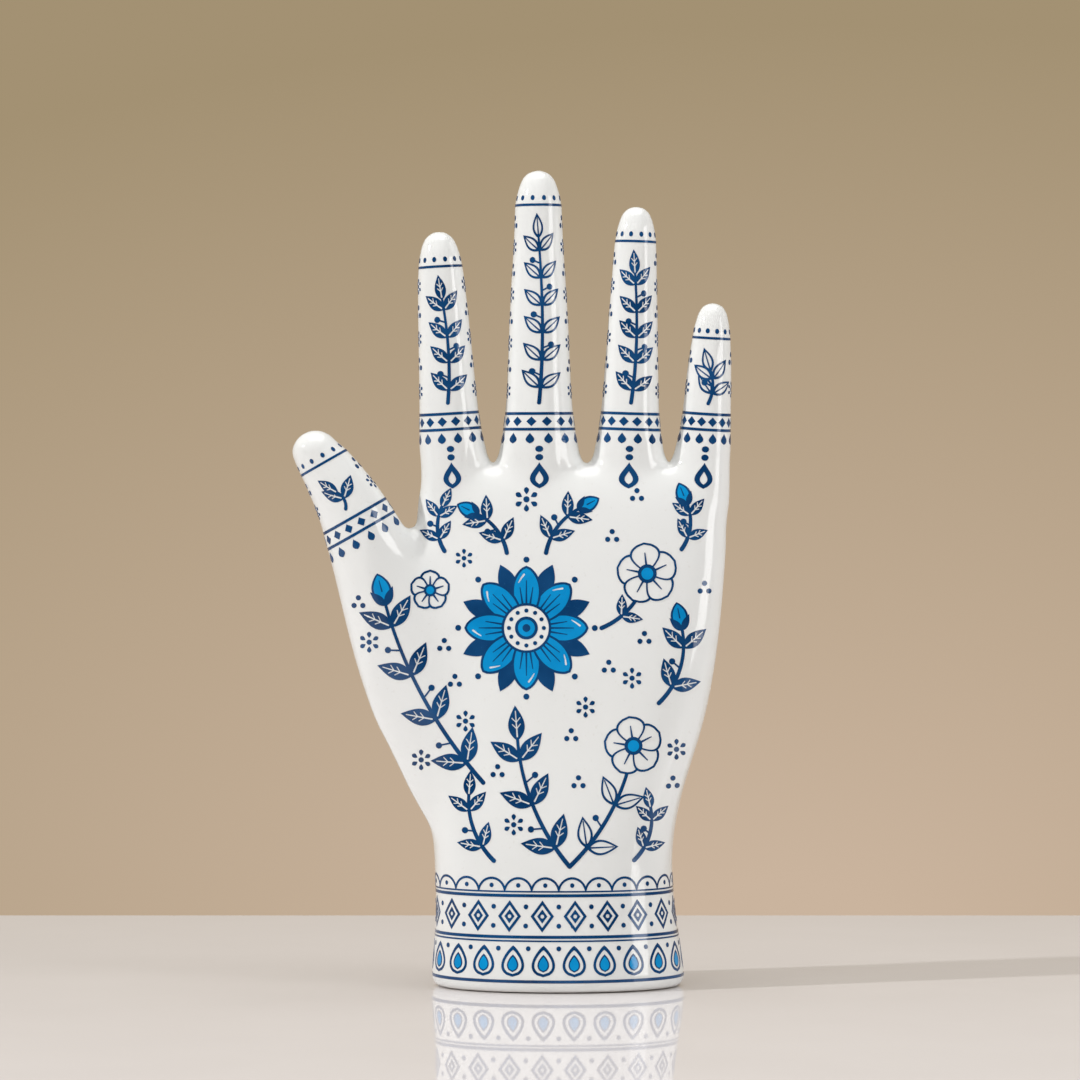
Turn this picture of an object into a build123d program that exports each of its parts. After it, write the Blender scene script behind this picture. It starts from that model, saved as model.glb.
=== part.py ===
"""An upright porcelain hand on an oval foot.

The hand is one slip casting: palm and wrist are a hollow shell, the digits are cast solid. Blue transfers are
fired onto its glaze, and a non-slip pad is glued into the foot. Millimetres, +Z up, the palm faces -Y, and the
origin is the middle of the pad's underside.
"""

import os
from dataclasses import dataclass
from math import atan2, copysign, cos, degrees, pi, radians, sin

from build123d import *

os.makedirs("parts", exist_ok=True)

# Casting
FOOT_WIDTH = 71.4
FOOT_DEPTH = 50.0
FOOT_ROUND = 2.6
FOOT_LAND = 6.0
WALL = 4.5
FLOOR = 5.0
VENT_RADIUS = 6.0
VOID_TOP_GAP = 10.0

# Pad under the foot
PAD_THICKNESS = 1.7
PAD_STANDS_OUT = 0.5
PAD_CLEARANCE = 0.3

# Fingers: how they leave the palm, where they narrow to their tips, and how far up the tip the taper ends
ROOT_HEIGHT = 149.0
SHAFT_LENGTH = 15.0
SHOULDER_LENGTH = 8.0
TIP_ANGLE = 20.0
BURIED_LENGTH = 24.0
BURIED_RADIUS = 6.0
FINGER_ROOT_Y = 3.0
FINGER_TIP_Y = 0.5

# Transfers: a film just clear of the glaze, cut out by prisms of this reach
PRINT_THICKNESS = 0.3
PRINT_GAP = 0.02
PRINT_REACH = 60.0

# Large blossom on the palm, repeated on the back
BLOSSOM_X = -9.0
BLOSSOM_Z = 101.0
BLOSSOM_PETALS = 8
BLOSSOM_RADIUS = 9.6
BLOSSOM_PETAL_LENGTH = 10.4
BLOSSOM_PETAL_WIDTH = 6.6
BLOSSOM_EYE_RADIUS = 3.4
BACK_BLOSSOM_X = 4.0
BACK_BLOSSOM_Z = 98.0

# Small blossoms, stems and leaves
FLORET_PETALS = 5
FLORET_RADIUS = 3.6
FLORET_PETAL_RADIUS = 2.3
STEM_WIDTH = 0.9
LEAF_LENGTH = 7.6
LEAF_WIDTH = 3.4
LEAF_ANGLE = 48.0
DIGIT_LEAF_LENGTH = 5.6
DIGIT_LEAF_WIDTH = 2.5

# Bands round the wrist
LAPPET_COUNT = 22
LAPPET_Z = 5.0
LAPPET_LENGTH = 8.4
LAPPET_WIDTH = 6.2
LOZENGE_COUNT = 20
LOZENGE_Z = 17.0
LOZENGE_LENGTH = 9.0
LOZENGE_WIDTH = 6.4
LOZENGE_EYE_RADIUS = 1.2
BAND_REACH = 7.0

# Rings and sprigs on the digits
RING_WIDTH = 1.1
RING_PITCH = 3.4
RING_REACH = 16.0
RING_START = 8.0
RING_TIP_GAP = 9.0
SPRIG_GAP = 4.0
SPRIG_BOW = 1.2
THUMB_RING_START = 4.0
THUMB_LEAF_PAIRS = 1

# Points that draw each oval section
OVAL_POINTS = 16


@dataclass(frozen=True)
class Station:
    """A level section of wrist and palm; a fullness of 2 is an ellipse, and more has fuller corners."""

    height: float
    left: float
    right: float
    depth: float
    y: float
    fullness: float


@dataclass(frozen=True)
class Finger:
    """A finger's straight axis, its half-widths from root to tip and the leaf pairs printed on it."""

    root_x: float
    tip_x: float
    tip_z: float
    root_radius: float
    shaft_radius: float
    middle_radius: float
    shoulder_radius: float
    tip_radius: float
    leaf_pairs: int


@dataclass(frozen=True)
class Knot:
    """A place on the thumb's axis, with its half-width and half-depth there."""

    x: float
    y: float
    z: float
    half_width: float
    half_depth: float


@dataclass(frozen=True)
class Sprig:
    """A bowed stem through three places on the palm or the back, with its leaf pairs."""

    start: tuple[float, float]
    via: tuple[float, float]
    end: tuple[float, float]
    pairs: int


STATIONS = (
    Station(PAD_STANDS_OUT, left=-FOOT_WIDTH / 2, right=FOOT_WIDTH / 2, depth=FOOT_DEPTH, y=0.0, fullness=2.1),
    Station(12.0, left=-35.0, right=34.3, depth=47.0, y=0.0, fullness=2.1),
    Station(26.0, left=-34.6, right=32.5, depth=44.0, y=0.0, fullness=2.2),
    Station(40.0, left=-35.4, right=32.4, depth=41.5, y=0.3, fullness=2.3),
    Station(55.0, left=-37.0, right=35.2, depth=38.0, y=1.0, fullness=2.45),
    Station(72.0, left=-39.0, right=40.4, depth=34.0, y=1.8, fullness=2.45),
    Station(92.0, left=-40.0, right=44.5, depth=30.5, y=2.4, fullness=2.5),
    Station(114.0, left=-40.2, right=46.8, depth=27.0, y=2.8, fullness=2.6),
    Station(132.0, left=-40.2, right=47.6, depth=23.5, y=3.0, fullness=2.7),
    Station(141.0, left=-38.9, right=46.7, depth=19.5, y=3.0, fullness=2.8),
    Station(145.5, left=-35.5, right=44.5, depth=13.5, y=3.0, fullness=2.9),
    Station(147.0, left=-33.0, right=42.5, depth=8.0, y=3.0, fullness=2.9),
)

FINGERS = {
    "index": Finger(-30.2, -33.9, 212.7, 9.1, 8.3, 7.5, 6.55, 5.0, leaf_pairs=4),
    "middle": Finger(-5.4, -5.7, 230.0, 10.4, 9.45, 8.2, 6.75, 5.3, leaf_pairs=5),
    "ring": Finger(19.9, 22.1, 219.8, 9.0, 8.15, 7.1, 6.05, 4.6, leaf_pairs=5),
    "little": Finger(41.2, 43.8, 192.6, 7.6, 6.75, 6.35, 5.7, 4.2, leaf_pairs=2),
}

THUMB = (
    Knot(-68.3, -3.5, 149.7, 6.8, 6.8),
    Knot(-59.9, -3.0, 137.6, 9.5, 8.6),
    Knot(-53.0, -2.4, 122.9, 11.7, 9.8),
    Knot(-46.9, -1.6, 105.8, 13.6, 10.8),
    Knot(-40.5, -0.8, 86.1, 14.3, 11.1),
    Knot(-33.4, 0.0, 63.5, 12.1, 10.0),
    Knot(-25.0, 0.0, 41.0, 7.3, 6.6),
)

PALM_FLORETS = ((25.0, 116.0), (21.0, 73.0))
PALM_SPRIGS = (
    Sprig((3.0, 42.0), (-9.0, 58.0), (-12.0, 78.0), pairs=3),
    Sprig((3.0, 42.0), (13.0, 51.0), (18.5, 63.0), pairs=2),
    Sprig((8.0, 101.0), (14.0, 102.0), (19.0, 107.0), pairs=1),
    Sprig((-13.0, 118.0), (-15.0, 126.0), (-22.0, 131.0), pairs=2),
    Sprig((-3.0, 118.0), (0.0, 125.0), (6.0, 131.0), pairs=2),
    Sprig((31.0, 83.0), (36.0, 90.0), (36.0, 100.0), pairs=2),
)
BACK_SPRIGS = (
    Sprig((0.0, 40.0), (5.0, 58.0), (3.0, 76.0), pairs=4),
    Sprig((2.0, 115.0), (0.0, 122.0), (-8.0, 130.0), pairs=2),
    Sprig((14.0, 112.0), (19.0, 119.0), (22.0, 128.0), pairs=2),
)


def oval(plane, half_width, half_depth, fullness):
    """A superellipse's face on a plane."""
    turns = [2 * pi * i / OVAL_POINTS for i in range(OVAL_POINTS)]
    power = 2 / fullness
    points = [
        (
            half_width * copysign(abs(cos(turn)) ** power, cos(turn)),
            half_depth * copysign(abs(sin(turn)) ** power, sin(turn)),
        )
        for turn in turns
    ]
    with BuildSketch(plane) as face:
        with BuildLine():
            Spline(*points, periodic=True)
        make_face()
    return face.sketch


def station_face(station, grow):
    """A station's section, grown outwards all round."""
    middle = (station.left + station.right) / 2
    plane = Plane((middle, station.y, station.height))
    half_width = (station.right - station.left) / 2 + grow
    return oval(plane, half_width, station.depth / 2 + grow, station.fullness)


def palm_solid(grow=0.0):
    """Wrist and palm, from the foot to the roots of the fingers."""
    with BuildPart() as palm:
        loft(sections=[station_face(station, grow) for station in STATIONS])
    return palm.part


def facing_plane(base, tip):
    """A plane through a digit's axis that faces the viewer of the palm, its Y along the digit."""
    along = (tip - base).normalized()
    across = along.cross(Vector(0, -1, 0)).normalized()
    return Plane(base, x_dir=across, z_dir=across.cross(along))


def finger_axis(finger):
    """The finger's root and tip."""
    root = Vector(finger.root_x, FINGER_ROOT_Y, ROOT_HEIGHT)
    return root, Vector(finger.tip_x, FINGER_TIP_Y, finger.tip_z)


def finger_solid(finger, grow=0.0):
    """One finger, turned about its own axis, from inside the palm to its round tip."""
    root, tip = finger_axis(finger)
    tip_centre = (tip - root).length - finger.tip_radius
    shoulder = tip_centre - SHOULDER_LENGTH
    round_radius = finger.tip_radius + grow
    turn = radians(TIP_ANGLE)
    with BuildPart() as solid:
        with BuildSketch(facing_plane(root, tip)):
            with BuildLine():
                Spline(
                    (BURIED_RADIUS + grow, -BURIED_LENGTH),
                    (finger.root_radius + grow, 0),
                    (finger.shaft_radius + grow, SHAFT_LENGTH),
                    (finger.middle_radius + grow, (SHAFT_LENGTH + shoulder) / 2),
                    (finger.shoulder_radius + grow, shoulder),
                    (round_radius * cos(turn), tip_centre + round_radius * sin(turn)),
                    tangents=[(1, 2), (-sin(turn), cos(turn))],
                )
                CenterArc((0, tip_centre), round_radius, TIP_ANGLE, 90 - TIP_ANGLE)
                Polyline(
                    (0, tip_centre + round_radius),
                    (0, -BURIED_LENGTH),
                    (BURIED_RADIUS + grow, -BURIED_LENGTH),
                )
            make_face()
        revolve(axis=Axis(root, tip - root))
    return solid.part


def thumb_axis():
    """The thumb's free stretch: where it leaves the palm, and its tip."""
    end = Vector(THUMB[0].x, THUMB[0].y, THUMB[0].z)
    base = Vector(THUMB[2].x, THUMB[2].y, THUMB[2].z)
    return base, end + (end - base).normalized() * THUMB[0].half_width


def thumb_solid(grow=0.0):
    """The thumb and the ball of the thumb, from its round tip into the heel of the palm."""
    points = [Vector(knot.x, knot.y, knot.z) for knot in THUMB]
    faces = []
    for place, knot in enumerate(THUMB):
        before = points[max(place - 1, 0)]
        after = points[min(place + 1, len(points) - 1)]
        along = (before - after).normalized()
        across = along.cross(Vector(0, -1, 0)).normalized()
        with BuildSketch(Plane(points[place], x_dir=across, z_dir=along)) as face:
            Ellipse(knot.half_width + grow, knot.half_depth + grow)
        faces.append(face.sketch)
    with BuildPart() as solid:
        loft(sections=faces)
        with Locations(points[0]):
            Sphere(THUMB[0].half_width + grow)
    return solid.part


def void_solid():
    """The hollow inside wrist and palm, left when the slip is drained."""
    top = STATIONS[-1].height - VOID_TOP_GAP
    floor_top = PAD_THICKNESS + FLOOR
    below, above = STATIONS[0], STATIONS[1]
    share = (floor_top - below.height) / (above.height - below.height)
    lowest = Station(
        floor_top,
        left=below.left + (above.left - below.left) * share,
        right=below.right + (above.right - below.right) * share,
        depth=below.depth + (above.depth - below.depth) * share,
        y=below.y,
        fullness=below.fullness,
    )
    levels = [lowest, *(station for station in STATIONS if floor_top < station.height < top)]
    with BuildPart() as void:
        loft(sections=[station_face(station, -WALL) for station in levels])
    return void.part


def foot_oval(inset):
    """The foot's outline on the ground, taken in all round."""
    return oval(Plane.XY, FOOT_WIDTH / 2 - inset, FOOT_DEPTH / 2 - inset, STATIONS[0].fullness)


def leaf(length, width):
    """A pointed leaf's face along X, from its stalk at the origin."""
    with BuildSketch() as face:
        with BuildLine():
            ThreePointArc((0, 0), (length / 2, -width / 2), (length, 0))
            ThreePointArc((length, 0), (length / 2, width / 2), (0, 0))
        make_face()
    return face.sketch


def sprig(stem, leaf_face):
    """A sprig's face: its bowed stem, leaf pairs along it and a leaf at its end."""
    with BuildSketch() as face:
        with BuildLine():
            line = ThreePointArc(stem.start, stem.via, stem.end)
        trace(line_width=STEM_WIDTH)
        for pair in range(stem.pairs):
            share = (pair + 0.5) / stem.pairs
            at, along = line.position_at(share), line.tangent_at(share)
            heading = degrees(atan2(along.Y, along.X))
            with Locations(Location(at, heading - LEAF_ANGLE), Location(at, heading + LEAF_ANGLE)):
                add(leaf_face)
        along = line.tangent_at(1)
        with Locations(Location(line.position_at(1) - along * STEM_WIDTH, degrees(atan2(along.Y, along.X)))):
            add(leaf_face)
    return face.sketch


def digit_sprig(start, end, pairs):
    """A sprig up the middle of a digit."""
    stem = Sprig((0, start), (SPRIG_BOW, (start + end) / 2), (0, end), pairs)
    return sprig(stem, leaf(DIGIT_LEAF_LENGTH, DIGIT_LEAF_WIDTH))


def blossom():
    """The large blossom's face round the origin: loose petals round an eye."""
    with BuildSketch() as face:
        Circle(BLOSSOM_EYE_RADIUS)
        with PolarLocations(BLOSSOM_RADIUS, BLOSSOM_PETALS):
            Ellipse(BLOSSOM_PETAL_LENGTH / 2, BLOSSOM_PETAL_WIDTH / 2)
    return face.sketch


def floret():
    """A small blossom's face round the origin, its petals joined."""
    with BuildSketch() as face:
        Circle(FLORET_RADIUS)
        with PolarLocations(FLORET_RADIUS, FLORET_PETALS, start_angle=90):
            Circle(FLORET_PETAL_RADIUS)
    return face.sketch


def lozenge():
    """A pierced lozenge's face along X, from its lowest corner at the origin."""
    half_length, half_width = LOZENGE_LENGTH / 2, LOZENGE_WIDTH / 2
    with BuildSketch() as face:
        with Locations((half_length, 0)):
            Polygon((-half_length, 0), (0, -half_width), (half_length, 0), (0, half_width))
            Circle(LOZENGE_EYE_RADIUS, mode=Mode.SUBTRACT)
    return face.sketch


def round_wrist(face, height, count):
    """Prisms of one upright face, set all round the wrist."""
    edge = foot_oval(BAND_REACH).wire()
    with BuildPart() as prisms:
        for place in range(count):
            along = edge.tangent_at(place / count)
            start = edge.position_at(place / count) + Vector(0, 0, height)
            with BuildSketch(Plane(start, x_dir=(0, 0, 1), z_dir=along.cross(Vector(0, 0, 1)))):
                add(face)
            extrude(amount=2 * BAND_REACH)
    return prisms.part


def digit_prisms(base, tip, first_ring, pairs):
    """Prisms for a digit: two rings near its base, a sprig and a ring at its tip."""
    plane = facing_plane(base, tip)
    second_ring = first_ring + RING_PITCH
    last_ring = (tip - base).length - RING_TIP_GAP
    with BuildPart() as prisms:
        with BuildSketch(plane):
            add(digit_sprig(second_ring + SPRIG_GAP, last_ring - SPRIG_GAP - DIGIT_LEAF_LENGTH, pairs))
        extrude(amount=RING_REACH)
        for height in (first_ring, second_ring, last_ring):
            with BuildSketch(Plane(base + plane.y_dir * height, x_dir=plane.x_dir, z_dir=plane.y_dir)):
                Circle(RING_REACH)
            extrude(amount=RING_WIDTH)
    return prisms.part


def film(solid, *args):
    """The thin layer that a transfer fires to over one of the hand's forms."""
    with BuildPart() as layer:
        add(solid(*args, grow=PRINT_GAP + PRINT_THICKNESS))
        add(solid(*args, grow=PRINT_GAP), mode=Mode.SUBTRACT)
    return layer.part


# Casting: palm, thumb and fingers in one piece, hollow above a vented floor
with BuildPart() as hand_casting:
    add(palm_solid())
    fillet(hand_casting.faces().sort_by(Axis.Z)[0].edges(), radius=FOOT_ROUND)
    add(thumb_solid())
    for finger in FINGERS.values():
        add(finger_solid(finger))
    add(void_solid(), mode=Mode.SUBTRACT)
    extrude(foot_oval(FOOT_LAND), amount=PAD_THICKNESS, mode=Mode.SUBTRACT)
    with Locations((0, 0, PAD_THICKNESS + FLOOR / 2)):
        Cylinder(VENT_RADIUS, FLOOR * 2, mode=Mode.SUBTRACT)
hand_casting.part.label = "hand_casting"
export_step(hand_casting.part, "parts/hand_casting.step")

# Pad: die-cut foam in the foot's recess
with BuildPart() as base_pad:
    extrude(foot_oval(FOOT_LAND + PAD_CLEARANCE), amount=PAD_THICKNESS)
base_pad.part.label = "base_pad"
export_step(base_pad.part, "parts/base_pad.step")

# Palm film, shared by the transfers on palm, wrist and back
palm_film = film(palm_solid)
palm_leaf = leaf(LEAF_LENGTH, LEAF_WIDTH)

# Palm blossom
with BuildPart() as blossom_prisms:
    with BuildSketch(Plane.XZ):
        with Locations((BLOSSOM_X, BLOSSOM_Z)):
            add(blossom())
    extrude(amount=PRINT_REACH)
with BuildPart() as palm_blossom_print:
    add(palm_film)
    add(blossom_prisms.part, mode=Mode.INTERSECT)
palm_blossom_print.part.label = "palm_blossom_print"
export_step(palm_blossom_print.part, "parts/palm_blossom_print.step")

# Palm vine: sprigs and florets round the blossom
with BuildPart() as vine_prisms:
    with BuildSketch(Plane.XZ):
        for stem in PALM_SPRIGS:
            add(sprig(stem, palm_leaf))
        with Locations(*PALM_FLORETS):
            add(floret())
    extrude(amount=PRINT_REACH)
with BuildPart() as palm_vine_print:
    add(palm_film)
    add(vine_prisms.part, mode=Mode.INTERSECT)
palm_vine_print.part.label = "palm_vine_print"
export_step(palm_vine_print.part, "parts/palm_vine_print.step")

# Back: the blossom with fewer sprigs
with BuildPart() as back_prisms:
    with BuildSketch(Plane.XZ):
        for stem in BACK_SPRIGS:
            add(sprig(stem, palm_leaf))
        with Locations((BACK_BLOSSOM_X, BACK_BLOSSOM_Z)):
            add(blossom())
    extrude(amount=-PRINT_REACH)
with BuildPart() as back_print:
    add(palm_film)
    add(back_prisms.part, mode=Mode.INTERSECT)
back_print.part.label = "back_print"
export_step(back_print.part, "parts/back_print.step")

# Lappets round the foot
with BuildPart() as wrist_lappet_print:
    add(palm_film)
    add(round_wrist(leaf(LAPPET_LENGTH, LAPPET_WIDTH), LAPPET_Z, LAPPET_COUNT), mode=Mode.INTERSECT)
wrist_lappet_print.part.label = "wrist_lappet_print"
export_step(wrist_lappet_print.part, "parts/wrist_lappet_print.step")

# Lozenges round the wrist
with BuildPart() as wrist_lozenge_print:
    add(palm_film)
    add(round_wrist(lozenge(), LOZENGE_Z, LOZENGE_COUNT), mode=Mode.INTERSECT)
wrist_lozenge_print.part.label = "wrist_lozenge_print"
export_step(wrist_lozenge_print.part, "parts/wrist_lozenge_print.step")

# Thumb: rings and a sprig above its web
with BuildPart() as thumb_print:
    add(film(thumb_solid))
    add(digit_prisms(*thumb_axis(), THUMB_RING_START, THUMB_LEAF_PAIRS), mode=Mode.INTERSECT)
thumb_print.part.label = "thumb_print"
export_step(thumb_print.part, "parts/thumb_print.step")

# Fingers: rings and a sprig on each
for name, finger in FINGERS.items():
    with BuildPart() as finger_print:
        add(film(finger_solid, finger))
        add(digit_prisms(*finger_axis(finger), RING_START, finger.leaf_pairs), mode=Mode.INTERSECT)
    finger_print.part.label = f"{name}_finger_print"
    export_step(finger_print.part, f"parts/{name}_finger_print.step")
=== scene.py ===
"""Dresses the porcelain hand: glazed casting, fired blue transfers, foam pad, table and studio light."""

import cmath
import logging
import math
from bisect import bisect_right
from dataclasses import dataclass, field
from enum import Enum
from typing import Iterable, Protocol, Sequence

import bmesh
import bpy
import numpy as np
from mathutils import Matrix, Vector
from mathutils.bvhtree import BVHTree
from mathutils.geometry import delaunay_2d_cdt


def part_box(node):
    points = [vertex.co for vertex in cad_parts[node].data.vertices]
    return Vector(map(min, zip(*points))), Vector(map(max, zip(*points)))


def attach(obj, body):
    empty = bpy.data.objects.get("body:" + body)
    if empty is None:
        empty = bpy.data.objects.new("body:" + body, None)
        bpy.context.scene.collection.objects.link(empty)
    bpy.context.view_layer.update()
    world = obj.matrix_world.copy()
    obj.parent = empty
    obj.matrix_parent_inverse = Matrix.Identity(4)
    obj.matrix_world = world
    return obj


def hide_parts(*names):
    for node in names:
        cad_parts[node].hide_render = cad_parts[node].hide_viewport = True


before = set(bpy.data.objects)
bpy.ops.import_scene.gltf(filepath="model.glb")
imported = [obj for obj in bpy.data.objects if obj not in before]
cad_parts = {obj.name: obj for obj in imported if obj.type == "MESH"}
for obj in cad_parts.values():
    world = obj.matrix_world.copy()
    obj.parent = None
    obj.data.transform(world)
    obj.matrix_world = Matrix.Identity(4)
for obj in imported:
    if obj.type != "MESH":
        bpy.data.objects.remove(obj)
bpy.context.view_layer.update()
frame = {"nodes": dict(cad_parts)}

Colour = tuple[float, float, float, float]
Point = tuple[float, float, float]
Span = tuple[float, float]

MM = 0.001
BODY = "root"
HOLLOW = "hollow"
log = logging.getLogger("porcelain_hand")


class Ink(Enum):
    """What a place on a transfer sheet holds; the value is the film's material slot."""

    NAVY = 0
    CERULEAN = 1
    BLANK = 2


class LeafStyle(Enum):
    """How a leaf is drawn."""

    VEINED = "solid with a white rib"
    OPEN = "outlined with a dark rib"


class Side(Enum):
    """A broad side of the hand; the value is the way that it faces along Y."""

    PALM = -1
    BACK = 1


class Cut(Enum):
    """A blade's cut: the share of its length where it is widest, and its bluntness, where 1 is pointed."""

    LEAF = (0.42, 1.0)
    SEPAL = (0.7, 1.0)
    BUD = (0.5, 0.8)
    PETAL = (0.6, 0.62)
    FLORET = (0.62, 0.6)
    TINY = (0.6, 0.7)
    LAPPET = (0.36, 0.8)
    SEED = (0.4, 0.8)
    DROP = (0.62, 0.8)
    HEART = (0.6, 0.8)


# Bench tools


def pick(obj: bpy.types.Object) -> None:
    """Selects one object alone and makes it active.

    Args:
        obj: The object.
    """
    bpy.ops.object.select_all(action="DESELECT")
    obj.select_set(True)
    bpy.context.view_layer.objects.active = obj


def apply_modifier(obj: bpy.types.Object, kind: str, **settings: object) -> None:
    """Adds a modifier, sets it up and applies it.

    Args:
        obj: The object to shape.
        kind: Blender's name for the modifier's type.
        settings: The modifier's own settings.
    """
    pick(obj)
    modifier = obj.modifiers.new(kind.title(), kind)
    for name, value in settings.items():
        setattr(modifier, name, value)
    bpy.ops.object.modifier_apply(modifier=modifier.name)


def shade(piece: bpy.types.Object, crease: float) -> None:
    """Shades a finished piece smooth, apart from edges of at least the crease angle in degrees."""
    pick(piece)
    bpy.ops.object.shade_smooth_by_angle(angle=math.radians(crease))


def ease(low: float, high: float, value: float) -> float:
    """Rises smoothly from 0 at low to 1 at high, and falls where high is the lower."""
    share = min(max((value - low) / (high - low), 0.0), 1.0)
    return share * share * (3 - 2 * share)


# Materials


class NodeBoard:
    """A node tree with short calls to add and link nodes."""

    MIX_INPUTS = (0, 6, 7)
    MIX_OUTPUT = 2

    def __init__(self, tree: bpy.types.NodeTree) -> None:
        """Starts with an empty tree."""
        self.tree = tree
        self.tree.nodes.clear()

    def feed(self, socket: bpy.types.NodeSocket, value: object) -> None:
        """Links a socket to another one, or sets its value.

        Args:
            socket: The input to feed.
            value: The output to link, or a plain value.
        """
        if isinstance(value, bpy.types.NodeSocket):
            self.tree.links.new(value, socket)
        else:
            socket.default_value = value

    def add(self, kind: str, settings: dict[str, object] | None = None, **inputs: object) -> bpy.types.Node:
        """Adds a node.

        Args:
            kind: The node's type.
            settings: Properties of the node itself.
            inputs: Socket values or sockets to link, by socket name with underscores for spaces.

        Returns:
            The new node.
        """
        node = self.tree.nodes.new(kind)
        for name, value in (settings or {}).items():
            setattr(node, name, value)
        for name, value in inputs.items():
            self.feed(node.inputs[name.replace("_", " ")], value)
        return node

    def mix(self, share: object, first: object, second: object) -> bpy.types.NodeSocket:
        """Mixes two colours.

        Args:
            share: How much of the second shows.
            first: The first colour.
            second: The second colour.

        Returns:
            The mixed colour.
        """
        node = self.add("ShaderNodeMix", {"data_type": "RGBA"})
        for index, value in zip(self.MIX_INPUTS, (share, first, second)):
            self.feed(node.inputs[index], value)
        return node.outputs[self.MIX_OUTPUT]

    def maths(self, operation: str, *values: object) -> bpy.types.NodeSocket:
        """Works a sum.

        Args:
            operation: Blender's name for the sum.
            values: What it works on.

        Returns:
            The result.
        """
        node = self.add("ShaderNodeMath", {"operation": operation})
        for socket, value in zip(node.inputs, values):
            self.feed(socket, value)
        return node.outputs[0]

    def remap(self, value: object, span: Span, result: Span = (0.0, 1.0)) -> bpy.types.NodeSocket:
        """Maps a value from one range to another, clamped.

        Args:
            value: The value.
            span: Its range.
            result: The new range.

        Returns:
            The mapped value.
        """
        node = self.add("ShaderNodeMapRange", Value=value, From_Min=span[0], From_Max=span[1],
                        To_Min=result[0], To_Max=result[1])
        return node.outputs["Result"]


KILN_DETAIL = {"Ripple": 2.0, "Tone": 3.0, "Speck": 1.0}
TONE_SPAN = (0.3, 0.7)
SPECK_SPAN = (0.68, 0.78)


def kiln_group() -> bpy.types.NodeTree:
    """Builds the shared kiln effect: slow ripple, tone drift and fine specks on Object coordinates.

    Returns:
        A node group with inputs Ripple Scale, Tone Scale and Speck Scale and outputs Height, Tone and Specks.
    """
    name = "kiln_marks"
    if name in bpy.data.node_groups:
        return bpy.data.node_groups[name]
    group = bpy.data.node_groups.new(name, "ShaderNodeTree")
    for effect in KILN_DETAIL:
        group.interface.new_socket(name=f"{effect} Scale", in_out="INPUT", socket_type="NodeSocketFloat")
    for socket in ("Height", "Tone", "Specks"):
        group.interface.new_socket(name=socket, in_out="OUTPUT", socket_type="NodeSocketFloat")
    board = NodeBoard(group)
    entry = board.add("NodeGroupInput")
    place = board.add("ShaderNodeTexCoord").outputs["Object"]
    noise: dict[str, bpy.types.NodeSocket] = {}
    for effect, detail in KILN_DETAIL.items():
        scale = entry.outputs[f"{effect} Scale"]
        node = board.add("ShaderNodeTexNoise", Vector=place, Scale=scale, Detail=detail)
        noise[effect] = node.outputs["Fac"]
    board.add("NodeGroupOutput", Height=noise["Ripple"], Tone=board.remap(noise["Tone"], TONE_SPAN),
              Specks=board.remap(noise["Speck"], SPECK_SPAN))
    return group


@dataclass(frozen=True)
class Finish:
    """A surface with a drifting tone, specks and a slight ripple.

    Attributes:
        name: The material's name.
        tones: The two colours that the tone drifts between, linear RGBA.
        speck: The specks' colour.
        speck_share: How strongly the specks show.
        roughness: The roughness' range from its smoothest to its roughest place.
        ripple_scale: Ripples per metre.
        speck_scale: Specks per metre.
        ripple_depth: The ripple's height in metres.
        specular: How strongly the surface mirrors.
        tone_scale: Changes of tone per metre.
    """

    name: str
    tones: tuple[Colour, Colour]
    speck: Colour
    speck_share: float
    roughness: Span
    ripple_scale: float
    speck_scale: float
    ripple_depth: float
    specular: float = 0.5
    tone_scale: float = 18.0

    def material(self) -> bpy.types.Material:
        """Makes the material, or gives the one already made.

        Returns:
            The material.
        """
        if self.name in bpy.data.materials:
            return bpy.data.materials[self.name]
        material = bpy.data.materials.new(self.name)
        material.use_nodes = True
        board = NodeBoard(material.node_tree)
        marks = board.add("ShaderNodeGroup", {"node_tree": kiln_group()}, Ripple_Scale=self.ripple_scale,
                          Tone_Scale=self.tone_scale, Speck_Scale=self.speck_scale).outputs
        colour = board.mix(marks["Tone"], *self.tones)
        colour = board.mix(board.maths("MULTIPLY", marks["Specks"], self.speck_share), colour, self.speck)
        rough = board.remap(marks["Tone"], (0.0, 1.0), self.roughness)
        self.dress(board, marks["Height"], colour, rough)
        return material

    def dress(self, board: NodeBoard, ripple: bpy.types.NodeSocket, colour: bpy.types.NodeSocket,
              rough: bpy.types.NodeSocket) -> None:
        """Joins colour, roughness and ripple to the surface shader.

        Args:
            board: The material's board.
            ripple: The ripple's height.
            colour: The base colour.
            rough: The roughness.
        """
        bump = board.add("ShaderNodeBump", Height=ripple, Strength=1.0, Distance=self.ripple_depth)
        shader = board.add("ShaderNodeBsdfPrincipled", Base_Color=colour, Roughness=rough,
                           Normal=bump.outputs["Normal"], Specular_IOR_Level=self.specular)
        board.add("ShaderNodeOutputMaterial", Surface=shader.outputs["BSDF"])


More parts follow.
